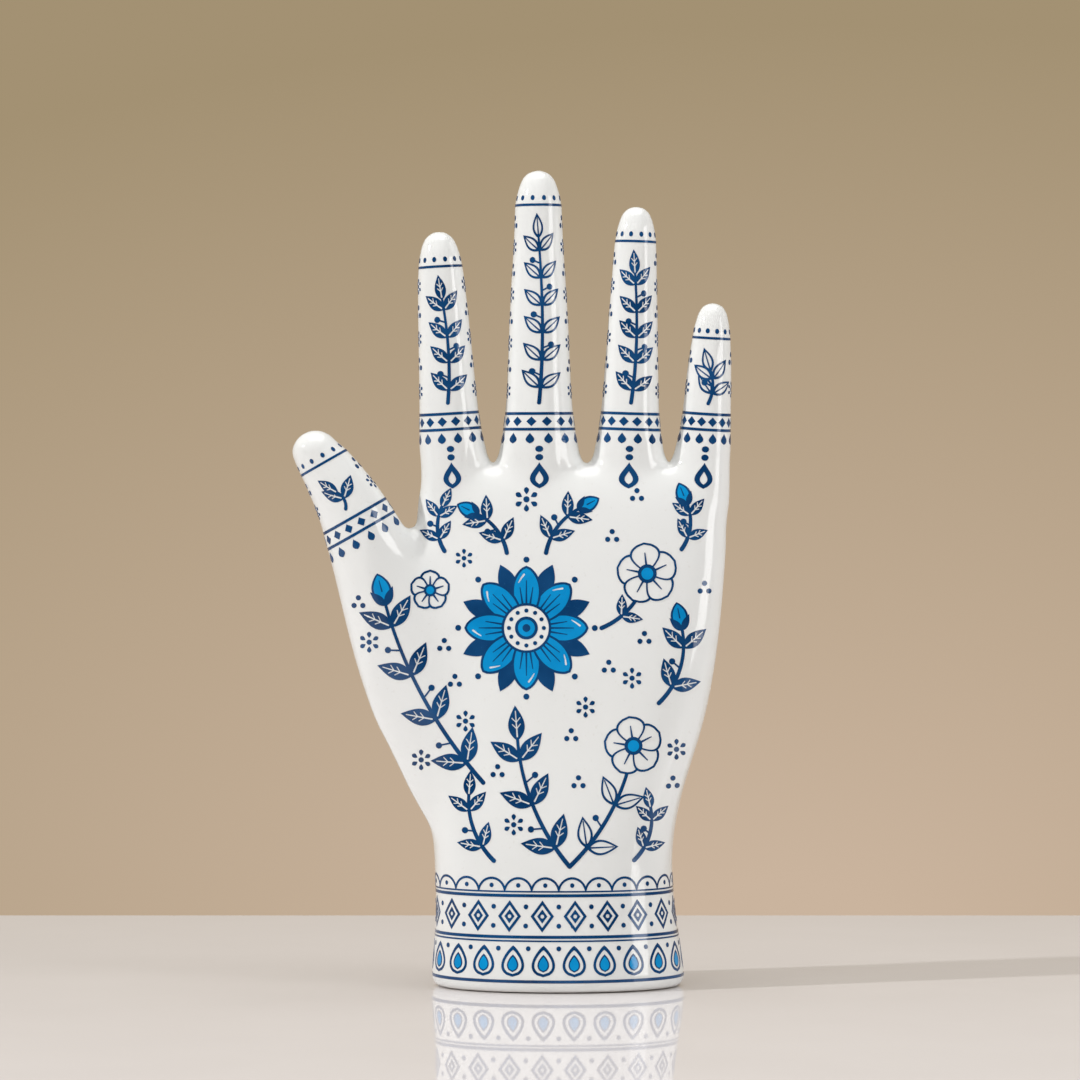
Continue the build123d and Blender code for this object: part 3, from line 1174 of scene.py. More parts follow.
@dataclass
class Transfer:
    """A printed sheet fired onto the hand as a thin film.

    Attributes:
        name: The piece's name without its ending.
        slot: The name of a material slot; not used.
        carrier: Where the sheet lies.
        grid: The film's inner point spacing in millimetres.
        near: Points on the sheet this near to each other are one.
        lift: How far the film's face stands off the glaze, in metres.
        thickness: The film's thickness in metres, sunk into the glaze.
        weld: Corners of the film this near to each other are one, in metres.
        crease: The least angle in degrees that stays sharp.
        shapes: What is printed, later shapes over earlier ones.
    """

    INSIDE_SHAPES = 1

    name: str
    slot: str
    carrier: Carrier
    grid: float = 1.1
    near: float = 1e-4
    lift: float = 0.09 * MM
    thickness: float = 0.16 * MM
    weld: float = 0.002 * MM
    crease: float = 50.0
    shapes: list[Shape] = field(default_factory=list)

    def paint(self, motif: Motif, at: complex = 0j) -> None:
        """Adds a motif on top."""
        self.shapes += placed(motif.shapes(), at)

    def paint_row(self, motif: Motif, places: Iterable[float], height: float) -> None:
        """Adds a motif at each place across, all at one height."""
        for across in places:
            self.paint(motif, complex(across, height))

    def grid_points(self, points: Sequence[Vector]) -> list[Vector]:
        """Staggered rows of points all over the sheet, which let the film follow a curved surface.

        Args:
            points: The corners of all shapes.

        Returns:
            The points.
        """
        low_x, high_x = min(p.x for p in points), max(p.x for p in points)
        low_y, high_y = min(p.y for p in points), max(p.y for p in points)
        spread: list[Vector] = []
        for row in range(int((high_y - low_y) / self.grid)):
            for column in range(int((high_x - low_x) / self.grid)):
                shift = 0.5 * (row % 2)
                spread.append(Vector((low_x + (column + shift) * self.grid, low_y + (row + 0.5) * self.grid)))
        return spread

    def triangles(self) -> tuple[list[complex], list[tuple[list[int], Ink]]]:
        """Cuts the painted sheet into triangles.

        Returns:
            The sheet's points, and each inked triangle's corners with its ink.
        """
        points: list[Vector] = []
        faces: list[list[int]] = []
        for shape in self.shapes:
            first = len(points)
            points += [Vector((p.real, p.imag)) for p in shape.outline]
            faces.append(list(range(first, len(points))))
        points += self.grid_points(points)
        spots, _, cells, _, _, owners = delaunay_2d_cdt(
            points, [], faces, self.INSIDE_SHAPES, self.near, True)
        inked = [(list(cell), self.shapes[max(owner)].ink) for cell, owner in zip(cells, owners) if owner]
        printed = [(cell, ink) for cell, ink in inked if ink is not Ink.BLANK]
        return [complex(spot.x, spot.y) for spot in spots], printed

    def build(self, surface: BVHTree) -> None:
        """Lays the film on the hand in place of its CAD print.

        Args:
            surface: The hand's surface.
        """
        places, cells = self.triangles()
        mesh = bmesh.new()
        corners: dict[int, bmesh.types.BMVert] = {}
        for index in sorted({corner for cell, _ in cells for corner in cell}):
            inner, out = self.carrier.ray(places[index])
            spot, normal, _, _ = surface.ray_cast(inner, out)
            if spot is not None:
                facing = normal if normal.dot(out) > 0 else -normal
                corners[index] = mesh.verts.new(spot + facing * self.lift)
        for cell, ink in cells:
            if all(corner in corners for corner in cell):
                mesh.faces.new([corners[corner] for corner in cell]).material_index = ink.value
        bmesh.ops.remove_doubles(mesh, verts=mesh.verts, dist=self.weld)
        data = bpy.data.meshes.new(f"{self.name}_transfer")
        mesh.to_mesh(data)
        mesh.free()
        film = bpy.data.objects.new(data.name, data)
        bpy.context.scene.collection.objects.link(film)
        data.materials.append(NAVY_TRANSFER.material())
        data.materials.append(CERULEAN_TRANSFER.material())
        apply_modifier(film, "SOLIDIFY", thickness=self.thickness, offset=-1.0)
        shade(film, self.crease)
        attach(film, BODY)
        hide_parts(f"{self.name}_print")
        log.info("%s: %d faces", film.name, len(film.data.polygons))


# The casting and its pad


@dataclass(frozen=True)
class Region:
    """A part of the hand's surface, with soft edges, that gets smoothing of its own.

    Attributes:
        rounds: Its rounds of smoothing.
        heights: The spans of height in millimetres over which it comes in and goes out.
        across: The same from side to side.
        facing: How far a place has to look to the front or back to count, first a little and then in full.
    """

    rounds: int
    heights: tuple[Span, ...]
    across: tuple[Span, ...] = ()
    facing: Span | None = None

    def share(self, vert: bpy.types.MeshVertex) -> float:
        """How much a place belongs to it.

        Args:
            vert: The place.

        Returns:
            A share from 0 to 1.
        """
        across, _, height = vert.co / MM
        if not self.across:
            # A region right across the hand takes its height unrounded
            height = vert.co.z / MM
        shares = [ease(*span, across) for span in self.across]
        shares += [ease(*span, height) for span in self.heights]
        if self.facing:
            shares.append(ease(*self.facing, abs(vert.normal.y)))
        return math.prod(shares)


FINGER_ROOTS = Region(40, ((122, 136), (152, 147)))
THUMB_VALLEY = Region(420, ((52, 66), (137, 125)), ((-54, -46), (-22, -30)), (0.12, 0.45))
THUMB_HEEL = Region(70, ((32, 42), (78, 62)), ((-18, -27),))


@dataclass
class PorcelainHand:
    """The glazed casting, softened as slip casting and glaze soften it.

    Attributes:
        same_place: Corners of the CAD mesh this near to each other are one, in metres.
        fine_voxel: The surface's grain while it is rounded, in metres.
        voxel: Its finished grain.
        web_radius: The round between the fingers and at the thumb.
        smooth_rounds: Rounds of smoothing all over, after each renewal.
        smooth_factors: How far a round smooths the surface, and how far it swells it back.
        regions: The parts that are smoothed more, in order.
        webs: Where the webs between the fingers lie across the hand, in millimetres.
        web_reach: How far from a web its fingers' sides count, in millimetres.
        flare_foot: The heights in millimetres between which those sides start to swell towards each other.
        flare_top: The heights between which the swelling runs out.
        flare: How far they swell at the web, in metres.
        plug: Half width and half depth of the plug that fills the foot's recess and vent.
        plug_height: Its height above the foot, in metres.
        plug_sides: Its sides.
        foot_land: Width of the ring that the recess leaves round the foot, in metres.
        ground: How much is ground off the foot to level it, in metres.
        settled: How far the foot sinks onto the pad under its weight, in metres.
        settled_height: The height up to which that shows.
        hollow_rounds: Rounds that spread the note of hollows.
        hollow_gain: How strongly a hollow counts.
        crease: The least angle in degrees that stays sharp.
    """

    same_place: float = 0.001 * MM
    fine_voxel: float = 0.65 * MM
    voxel: float = 1.1 * MM
    web_radius: float = 1.5 * MM
    smooth_rounds: int = 14
    smooth_factors: Span = (0.5, -0.53)
    regions: tuple[Region, ...] = (FINGER_ROOTS, THUMB_VALLEY, THUMB_HEEL)
    webs: tuple[float, ...] = (-17.9, 8.4, 31.4)
    web_reach: float = 7.0
    flare_foot: Span = (139.0, 146.0)
    flare_top: Span = (165.0, 147.0)
    flare: float = 1.3 * MM
    plug: Span = (30.7 * MM, 20.0 * MM)
    plug_height: float = 5.0 * MM
    plug_sides: int = 96
    foot_land: float = 4.9 * MM
    ground: float = 0.2 * MM
    settled: float = 0.47 * MM
    settled_height: float = 5.0 * MM
    hollow_rounds: int = 6
    hollow_gain: float = 7.0
    crease: float = 40.0

    def build(self) -> bpy.types.Object:
        """Shapes the casting from its CAD node.

        Returns:
            The hand, dressed and riding on the body.
        """
        hand = self.copy_casting()
        self.fill_recess(hand)
        self.remesh(hand, self.fine_voxel)
        self.keep_outer_skin(hand)
        self.round_hollows(hand)
        self.blend_regions(hand)
        self.flare_roots(hand)
        self.note_hollows(hand)
        self.cut_foot(hand)
        hand.data.materials.append(PORCELAIN.material())
        shade(hand, self.crease)
        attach(hand, BODY)
        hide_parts("hand_casting")
        log.info("porcelain_hand: %d faces", len(hand.data.polygons))
        return hand

    def copy_casting(self) -> bpy.types.Object:
        """Copies the CAD casting into a new piece with its loose triangles merged.

        Returns:
            The copy, at the origin.
        """
        hand = bpy.data.objects.new("porcelain_hand", frame["nodes"]["hand_casting"].data.copy())
        bpy.context.scene.collection.objects.link(hand)
        hand.data.materials.clear()
        pick(hand)
        bpy.ops.object.mode_set(mode="EDIT")
        bpy.ops.mesh.select_all(action="SELECT")
        bpy.ops.mesh.remove_doubles(threshold=self.same_place)
        bpy.ops.object.mode_set(mode="OBJECT")
        return hand

    def fill_recess(self, hand: bpy.types.Object) -> None:
        """Joins a plug into the recess and the vent, so that the inner skin comes loose.

        Args:
            hand: The hand.
        """
        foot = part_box("hand_casting")[0].z
        bpy.ops.object.select_all(action="DESELECT")
        bpy.ops.mesh.primitive_cylinder_add(vertices=self.plug_sides, radius=1, depth=self.plug_height,
                                            location=(0, 0, foot + self.plug_height / 2))
        plug = bpy.context.active_object
        plug.scale = (*self.plug, 1)
        bpy.ops.object.transform_apply(location=True, rotation=True, scale=True)
        pick(hand)
        plug.select_set(True)
        bpy.ops.object.join()

    def remesh(self, hand: bpy.types.Object, grain: float) -> None:
        """Renews the surface in an even grain."""
        apply_modifier(hand, "REMESH", mode="VOXEL", voxel_size=grain, use_smooth_shade=True)

    def smooth(self, hand: bpy.types.Object) -> None:
        """Smooths the surface and swells it back by as much each round, so that it keeps its size."""
        for factor in self.smooth_factors * self.smooth_rounds:
            apply_modifier(hand, "SMOOTH", factor=factor, iterations=1)

    def keep_outer_skin(self, hand: bpy.types.Object) -> None:
        """Deletes the drained hollow's skin, which nothing shows.

        Args:
            hand: The hand.
        """
        mesh = bmesh.new()
        mesh.from_mesh(hand.data)
        left = set(mesh.verts)
        shells: list[list[bmesh.types.BMVert]] = []
        while left:
            shell, edge = [], [left.pop()]
            while edge:
                vert = edge.pop()
                shell.append(vert)
                beside = {link.other_vert(vert) for link in vert.link_edges} & left
                left -= beside
                edge += beside
            shells.append(shell)
        shells.sort(key=len)
        for shell in shells[:-1]:
            bmesh.ops.delete(mesh, geom=shell, context="VERTS")
        mesh.to_mesh(hand.data)
        mesh.free()

    def round_hollows(self, hand: bpy.types.Object) -> None:
        """Fills inner corners to a round: swells the form, renews it and draws it in again.

        Args:
            hand: The hand.
        """
        for swelling, grain in ((self.web_radius, self.fine_voxel), (-self.web_radius, self.voxel)):
            apply_modifier(hand, "DISPLACE", strength=swelling, mid_level=0.0)
            self.remesh(hand, grain)
            self.smooth(hand)

    def blend_regions(self, hand: bpy.types.Object) -> None:
        """Smooths the surface where fingers and thumb grow out of the palm, and nowhere else.

        Args:
            hand: The hand.
        """
        for region in self.regions:
            group = hand.vertex_groups.new(name="region")
            for vert in hand.data.vertices:
                group.add([vert.index], region.share(vert), "REPLACE")
            apply_modifier(hand, "SMOOTH", factor=self.smooth_factors[0], iterations=region.rounds,
                           vertex_group=group.name)
            hand.vertex_groups.clear()

    def flare_roots(self, hand: bpy.types.Object) -> None:
        """Swells neighbouring fingers towards each other down to the web between them.

        Args:
            hand: The hand.
        """
        normals = [vert.normal.copy() for vert in hand.data.vertices]
        for vert, normal in zip(hand.data.vertices, normals):
            across, _, height = vert.co / MM
            to_web = min((web - across for web in self.webs), key=abs)
            if abs(to_web) < self.web_reach and to_web * normal.x > 0:
                swelling = ease(*self.flare_foot, height) * ease(*self.flare_top, height) ** 2
                vert.co.x += self.flare * swelling * normal.x

    def note_hollows(self, hand: bpy.types.Object) -> None:
        """Notes how hollow each place of the surface is, for the glaze's darker hollows and their painted
        shade.

        Args:
            hand: The hand.
        """
        data = hand.data
        count = len(data.vertices)
        places, normals = np.empty(3 * count), np.empty(3 * count)
        ends = np.empty(2 * len(data.edges), dtype=np.int32)
        data.vertices.foreach_get("co", places)
        data.vertices.foreach_get("normal", normals)
        data.edges.foreach_get("vertices", ends)
        first, second = ends.reshape(-1, 2).T
        neighbours = np.bincount(ends, minlength=count)

        def around(values: np.ndarray) -> np.ndarray:
            """The mean of each place's neighbours."""
            total = np.bincount(first, values[second], count) + np.bincount(second, values[first], count)
            return total / neighbours

        axes = zip(places.reshape(-1, 3).T, normals.reshape(-1, 3).T)
        hollow = sum((around(place) - place) * normal for place, normal in axes) / self.voxel
        for _ in range(self.hollow_rounds):
            hollow = around(hollow)
        note = data.attributes.new(HOLLOW, "FLOAT", "POINT")
        note.data.foreach_set("value", np.clip(hollow * self.hollow_gain, 0, 1).astype(np.float32))

    def cut_foot(self, hand: bpy.types.Object) -> None:
        """Grinds the foot level and sinks the recess that takes the pad.

        Args:
            hand: The hand.
        """
        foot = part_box("hand_casting")[0].z + self.ground
        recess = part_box("base_pad")[1].z - foot + self.settled
        pick(hand)
        bpy.ops.object.mode_set(mode="EDIT")
        bpy.ops.mesh.select_mode(type="FACE")
        bpy.ops.mesh.select_all(action="SELECT")
        bpy.ops.mesh.bisect(plane_co=(0, 0, foot), plane_no=(0, 0, 1), clear_inner=True, use_fill=True)
        bpy.ops.mesh.select_all(action="DESELECT")
        bpy.ops.object.mode_set(mode="OBJECT")
        for vert in hand.data.vertices:
            vert.co.z -= self.settled * ease(self.settled_height, foot, vert.co.z)
        max(hand.data.polygons, key=lambda face: face.area).select = True
        bpy.ops.object.mode_set(mode="EDIT")
        bpy.ops.mesh.inset(thickness=self.foot_land, depth=0)
        bpy.ops.mesh.extrude_region_move(TRANSFORM_OT_translate={"value": (0, 0, recess)})
        bpy.ops.object.mode_set(mode="OBJECT")


@dataclass
class BasePad:
    """The foam pad under the foot, which keeps its CAD shape.

    Attributes:
        finish: Its finish.
    """

    finish: Finish = PAD_FOAM

    def build(self) -> None:
        """Dresses the CAD node in its finish."""
        materials = frame["nodes"]["base_pad"].data.materials
        materials.clear()
        materials.append(self.finish.material())
        log.info("base_pad: foam finish")


# The decoration

Sown = tuple[tuple[Motif, tuple[complex, ...]], ...]

OPEN_LEAF = Leaf(8.8, 4.3, LeafStyle.OPEN)
MIDDLING_LEAF = Leaf(8.4, 4.0)
SMALL_LEAF = Leaf(7.2, 3.4)
SMALLER_LEAF = Leaf(6.2, 3.0)
SMALL_BUD = Bud(7.0, 4.3)


@dataclass
class BroadDecoration:
    """A blossom with stems round it, on a broad side of the hand.

    Attributes:
        blossom: The blossom.
        blossom_at: Its middle on the sheet, in millimetres.
        stems: The stems.
        sown: What lies between them, with its places.
    """

    blossom: Blossom
    blossom_at: complex
    stems: tuple[Stem, ...]
    sown: Sown

    def paint_stems(self, sheet: Transfer) -> None:
        """Paints the stems and what lies between them.

        Args:
            sheet: The sheet.
        """
        for stem in self.stems:
            sheet.paint(stem)
        for motif, places in self.sown:
            for place in places:
                sheet.paint(motif, place)


@dataclass
class PalmDecoration(BroadDecoration):
    """The large blossom and the stems that climb round it over the palm and the ball of the thumb."""

    blossom: Blossom = Blossom(17.4)
    blossom_at: complex = -9 + 101j
    stems: tuple[Stem, ...] = (
        Stem(3 + 35j, -8 + 54j, -11.5 + 70.5j, 3),
        Stem(3 + 35j, 14 + 49j, 21 + 69j, 2, OPEN_LEAF, Floret(8.4), leafy=0.72),
        Stem(28 + 80j, 34 + 89.5j, 34.5 + 101j, 2, MIDDLING_LEAF, Bud(8.2, 4.9)),
        Stem(12 + 101j, 16.5 + 103.5j, 25 + 117j, 1, SMALLER_LEAF, Floret(8.8), leafy=0.6),
        Stem(-14.5 + 122j, -17 + 128j, -23 + 133j, 2, SMALL_LEAF, SMALL_BUD),
        Stem(-3.5 + 122j, -0.5 + 129j, 6 + 134.5j, 2, SMALL_LEAF, SMALL_BUD),
        Stem(-21 + 58j, -37 + 80j, -48.5 + 108j, 4, Leaf(10.2, 4.7), Bud(9.4, 5.5)),
        Stem(-18 + 36.5j, -24 + 46j, -25 + 55j, 2, SMALL_LEAF, SMALL_LEAF),
        Stem(21 + 36.5j, 25.5 + 44j, 25.5 + 51.5j, 2, SMALLER_LEAF, SMALLER_LEAF),
        Stem(34.5 + 123j, 37 + 129.5j, 36 + 136j, 2, SMALLER_LEAF, SMALL_BUD),
        Stem(-32 + 122.5j, -34 + 129j, -32.5 + 135.5j, 2, SMALLER_LEAF, SMALLER_LEAF),
    )
    sown: Sown = (
        (Floret(5.8), (-36 + 111.5j,)),
        (TinyFlower(), (-26 + 75j, 7.5 + 79j, 20.5 + 87j)),
        (TinyFlower(3.4), (-9 + 137j,)),
        (TinyFlower(), (-12.5 + 46.5j, 33 + 67j, -53 + 97j, -38.5 + 64j)),
        (TinyFlower(2.6), (-26.5 + 120.5j,)),
        (Trefoil(), (14 + 90j, -32 + 96j, 15 + 126.5j, 41 + 112j, 5.5 + 58j, -17 + 61j, 32 + 57.5j, 3.5 + 71j,
                     -29 + 86j, -56 + 108j, 22 + 138j, 24 + 98j)),
    )

    def build(self, surface: BVHTree) -> None:
        """Prints the blossom and the stems on the palm.

        Args:
            surface: The hand's surface.
        """
        palm = FlatCarrier(Side.PALM)
        blossom = Transfer("palm_blossom", "cerulean_transfer", palm)
        blossom.paint(self.blossom, self.blossom_at)
        blossom.build(surface)
        vine = Transfer("palm_vine", "navy_transfer", palm)
        self.paint_stems(vine)
        vine.build(surface)


@dataclass
class BackDecoration(BroadDecoration):
    """A second blossom with fewer stems on the back of the hand; the sheet is seen from behind."""

    blossom: Blossom = Blossom(15.6, Ink.BLANK)
    blossom_at: complex = -4 + 98j
    stems: tuple[Stem, ...] = (
        Stem(0 + 36j, -5 + 54j, -4 + 70j, 3),
        Stem(0 + 36j, 12 + 46j, 18 + 62j, 2, OPEN_LEAF, Floret(7.4), leafy=0.72),
        Stem(22 + 75j, 33 + 85j, 41 + 104j, 3, MIDDLING_LEAF, Bud()),
        Stem(1 + 117j, 4 + 124j, 11.5 + 129j, 2, SMALL_LEAF, SMALL_BUD),
        Stem(-12 + 116j, -16 + 123j, -23.5 + 128j, 2, SMALL_LEAF, SMALL_BUD),
        Stem(-17 + 38j, -22 + 48j, -22 + 58j, 2, SMALL_LEAF, SMALL_LEAF),
        Stem(-25 + 78j, -31.5 + 88j, -32 + 99j, 2, MIDDLING_LEAF, SMALL_BUD),
    )
    sown: Sown = (
        (Floret(5.8), (28 + 116j,)),
        (TinyFlower(), (-21 + 70j, 13 + 79j, -34 + 117j, 31 + 130j, -6 + 132j)),
        (Trefoil(), (24 + 99j, -13 + 62j, -25 + 107j, 26 + 50j)),
    )

    def build(self, surface: BVHTree) -> None:
        """Prints the back.

        Args:
            surface: The hand's surface.
        """
        back = Transfer("back", "navy_transfer", FlatCarrier(Side.BACK))
        back.paint(self.blossom, self.blossom_at)
        self.paint_stems(back)
        back.build(surface)


@dataclass
class DigitDecoration:
    """Rings, a leafy sprig and dotted flowers along a digit, in millimetres.

    Attributes:
        digit: The digit's name in the CAD nodes.
        base: Its axis' start.
        tip: Its axis' end.
        radius: Its radius at half its length.
        pairs: The sprig's leaf pairs.
        style: How its leaves are drawn.
        pendant: What hangs from the ring over the finger's root.
        pendant_gap: From the ring down to the pendant.
        grid: The sheet's inner point spacing.
        ring_start: Where the ring starts along the axis.
        ring_height: The ring's height.
        ring_line: The width of the lines that edge it.
        beads: Lozenges in the ring.
        bead_width: Their width.
        bead_room: How much lower than the ring they are.
        fringe: Drops that hang from the ring, and dots over the line round the tip.
        fringe_drop: A drop's length and width.
        fringe_gap: From the ring down to the drops.
        leaf_size: A sprig leaf's length and width.
        sprig_widths: The sprig's width at the start and at the end.
        sprig_bow: How far it bows aside.
        sprig_gap: From the ring to the sprig.
        sprig_end: From its topmost leaf to the line round the tip.
        row_pitch: From one row of flowers to the next, about.
        side: Where the side flowers stand, as a share of the way round.
        side_flower: A flower there.
        back_flower: A flower up the back.
        tip_ring: From the tip to the line round it.
        tip_line: That line's width.
        tip_dot: The radius of the dots over it.
        tip_dot_gap: From the line to their middles.
    """

    digit: str
    base: Point
    tip: Point
    radius: float
    pairs: int
    style: LeafStyle = LeafStyle.VEINED
    pendant: Pendant | None = Pendant()
    pendant_gap: float = 4.6
    grid: float = 1.0
    ring_start: float = 8.0
    ring_height: float = 4.4
    ring_line: float = 0.8
    beads: int = 14
    bead_width: float = 2.4
    bead_room: float = 1.7
    fringe: int = 12
    fringe_drop: Span = (3.0, 2.0)
    fringe_gap: float = 1.0
    leaf_size: Span = (7.2, 3.5)
    sprig_widths: Span = (1.0, 0.7)
    sprig_bow: float = 1.0
    sprig_gap: float = 3.0
    sprig_end: float = 1.6
    row_pitch: float = 7.0
    side: float = 0.21
    side_flower: TinyFlower = TinyFlower(2.2)
    back_flower: TinyFlower = TinyFlower(2.4)
    tip_ring: float = 10.0
    tip_line: float = 0.7
    tip_dot: float = 0.75
    tip_dot_gap: float = 2.0

    def build(self, surface: BVHTree) -> None:
        """Prints the digit.

        Args:
            surface: The hand's surface.
        """
        carrier = DigitCarrier(Vector(self.base) * MM, Vector(self.tip) * MM, self.radius)
        sheet = Transfer(self.digit, "navy_transfer", carrier, self.grid)
        self.print_ring(sheet, carrier)
        self.print_sprig(sheet, carrier)
        self.print_tip(sheet, carrier)
        if self.pendant:
            sheet.paint(self.pendant, complex(0, self.ring_start - self.pendant_gap))
        sheet.build(surface)

    def print_ring(self, sheet: Transfer, carrier: DigitCarrier) -> None:
        """Prints the ring of lozenges between two lines, and the fringe under it.

        Args:
            sheet: The digit's sheet.
            carrier: The digit's axis.
        """
        top = self.ring_start + self.ring_height
        for height in (self.ring_start, top):
            sheet.paint(band(carrier.girth, height, self.ring_line), -carrier.girth / 2)
        bead = rhomb(self.bead_width, self.ring_height - self.bead_room, Ink.NAVY)
        drop = blade(*self.fringe_drop, Ink.NAVY, Cut.DROP).placed(turn=-1j)
        sheet.paint_row(bead, carrier.places(self.beads), (self.ring_start + top) / 2)
        sheet.paint_row(drop, carrier.places(self.fringe), self.ring_start - self.fringe_gap)

    def print_sprig(self, sheet: Transfer, carrier: DigitCarrier) -> None:
        """Prints the sprig up the front, flowers at the sides and a row of them up the back.

        Args:
            sheet: The digit's sheet.
            carrier: The digit's axis.
        """
        leaf = Leaf(*self.leaf_size, self.style)
        start = self.ring_start + self.ring_height + self.sprig_gap
        end = carrier.length - self.tip_ring - leaf.length - self.sprig_end
        bow = complex(self.sprig_bow, (start + end) / 2)
        sheet.paint(Stem(start * 1j, bow, end * 1j, self.pairs, leaf, leaf, widths=self.sprig_widths))
        reach = end + leaf.length - start
        sides = (-self.side * carrier.girth, self.side * carrier.girth)
        for row, up in enumerate(middles(round(reach / self.row_pitch), reach)):
            beside, behind = (Trefoil(), self.back_flower) if row % 2 else (self.side_flower, Trefoil())
            sheet.paint_row(beside, sides, start + up)
            sheet.paint(behind, complex(carrier.girth / 2, start + up))

    def print_tip(self, sheet: Transfer, carrier: DigitCarrier) -> None:
        """Prints a line round the tip and a row of dots over it.

        Args:
            sheet: The digit's sheet.
            carrier: The digit's axis.
        """
        line_at = carrier.length - self.tip_ring
        sheet.paint(band(carrier.girth, line_at, self.tip_line), -carrier.girth / 2)
        sheet.paint_row(disc(0j, self.tip_dot), carrier.places(self.fringe), line_at + self.tip_dot_gap)


DIGITS = (
    DigitDecoration("thumb", (-53.0, -2.4, 122.9), (-71.7, -3.7, 155.6), 8.8, 1,
                    pendant=None, ring_start=6.0),
    DigitDecoration("index_finger", (-30.2, 3.0, 149.0), (-33.9, 0.5, 212.7), 7.5, 4),
    DigitDecoration("middle_finger", (-5.4, 3.0, 149.0), (-5.7, 0.5, 230.0), 8.0, 6, LeafStyle.OPEN),
    DigitDecoration("ring_finger", (19.9, 3.0, 149.0), (22.1, 0.5, 219.8), 7.1, 5),
    DigitDecoration("little_finger", (41.2, 3.0, 149.0), (43.8, 0.5, 192.6), 6.4, 2, LeafStyle.OPEN),
)


@dataclass
class WristDecoration:
    """The lappet border and the lozenge border round the wrist, in millimetres.

    Attributes:
        carrier: The wrist.
        lappet: One lappet.
        lappets: Lappets round the foot.
        lappet_foot: Their foot's height.
        lappet_gap: From their feet down to the line under them.
        lappet_dots: The height of the dots between them, in lappet heights.
        lozenge: One lozenge.
        lozenges: Lozenges round the wrist.
        lozenge_middle: Their middle's height.
        lozenge_dots: How far the dots between them lie from it, in lozenge heights.
        border_gap: From a lozenge's points to the border's lines.
        scallops: Scallops over the border.
        scallop_gap: From the border's upper line to their feet.
        line: The borders' line width.
        fine_line: The second line's width.
        line_gap: From a border's line to its second line.
        dot: The dots' radius.
    """

    carrier: WristCarrier = field(default_factory=WristCarrier)
    lappet: Lappet = Lappet()
    lappets: int = 22
    lappet_foot: float = 4.7
    lappet_gap: float = 1.3
    lappet_dots: float = 0.9
    lozenge: FramedLozenge = FramedLozenge()
    lozenges: int = 20
    lozenge_middle: float = 21.3
    lozenge_dots: float = 0.3
    border_gap: float = 1.3
    scallops: int = 24
    scallop_gap: float = 0.5
    line: float = 0.85
    fine_line: float = 0.45
    line_gap: float = 1.1
    dot: float = 0.7

    def build(self, surface: BVHTree) -> None:
        """Prints both borders.

        Args:
            surface: The hand's surface.
        """
        foot = Transfer("wrist_lappet", "navy_transfer", self.carrier)
        self.print_lappets(foot, self.carrier.girth)
        foot.build(surface)
        border = Transfer("wrist_lozenge", "navy_transfer", self.carrier)
        self.print_lozenges(border, self.carrier.girth)
        border.build(surface)

    def print_lappets(self, sheet: Transfer, girth: float) -> None:
        """Prints the line round the foot, and the lappets over it with a dot between them.

        Args:
            sheet: The border's sheet.
            girth: The way round the foot.
        """
        sheet.paint(band(girth, self.lappet_foot - self.lappet_gap, self.line))
        pitch = girth / self.lappets
        dots_at = self.lappet_foot + self.lappet_dots * self.lappet.height
        for i in range(self.lappets):
            sheet.paint(self.lappet, complex((i + 0.5) * pitch, self.lappet_foot))
            sheet.paint(disc(0j, self.dot), complex(i * pitch, dots_at))

    def print_lozenges(self, sheet: Transfer, girth: float) -> None:
        """Prints the border's lines, the lozenges with dots between them and the scallops on top.

        Args:
            sheet: The border's sheet.
            girth: The way round the foot.
        """
        half = self.lozenge.height / 2 + self.border_gap
        for side in (-1, 1):
            height = self.lozenge_middle + side * half
            sheet.paint(band(girth, height, self.line))
            sheet.paint(band(girth, height + side * self.line_gap, self.fine_line))
        pitch = girth / self.lozenges
        for i in range(self.lozenges):
            sheet.paint(self.lozenge, complex((i + 0.5) * pitch, self.lozenge_middle))
            for level in (-self.lozenge_dots, self.lozenge_dots):
                height = self.lozenge_middle + level * self.lozenge.height
                sheet.paint(disc(0j, self.dot), complex(i * pitch, height))
        arch = Scallop(girth / self.scallops)
        arch_foot = self.lozenge_middle + half + self.line_gap + self.scallop_gap
        sheet.paint_row(arch, [(i + 0.5) * arch.width for i in range(self.scallops)], arch_foot)


# The stage


@dataclass(frozen=True)
class Lamp:
    """A soft lamp that faces the hand.

    Attributes:
        name: Its name.
        place: Where it hangs, in metres.
        size: Its breadth and height.
        power: Its power in watts.
        mirrored: Whether glossy surfaces show it.
    """

    name: str
    place: Point
    size: Span
    power: float
    mirrored: bool = True

    def hang(self, target: Vector) -> None:
        """Hangs the lamp.

        Args:
            target: Where it points.
        """
        data = bpy.data.lights.new(self.name, "AREA")
        data.shape = "RECTANGLE"
        data.size, data.size_y = self.size
        data.energy = self.power
        lamp = bpy.data.objects.new(self.name, data)
        lamp.location = self.place
        lamp.rotation_euler = (target - lamp.location).to_track_quat("-Z", "Y").to_euler()
        lamp.visible_glossy = self.mirrored
        bpy.context.scene.collection.objects.link(lamp)


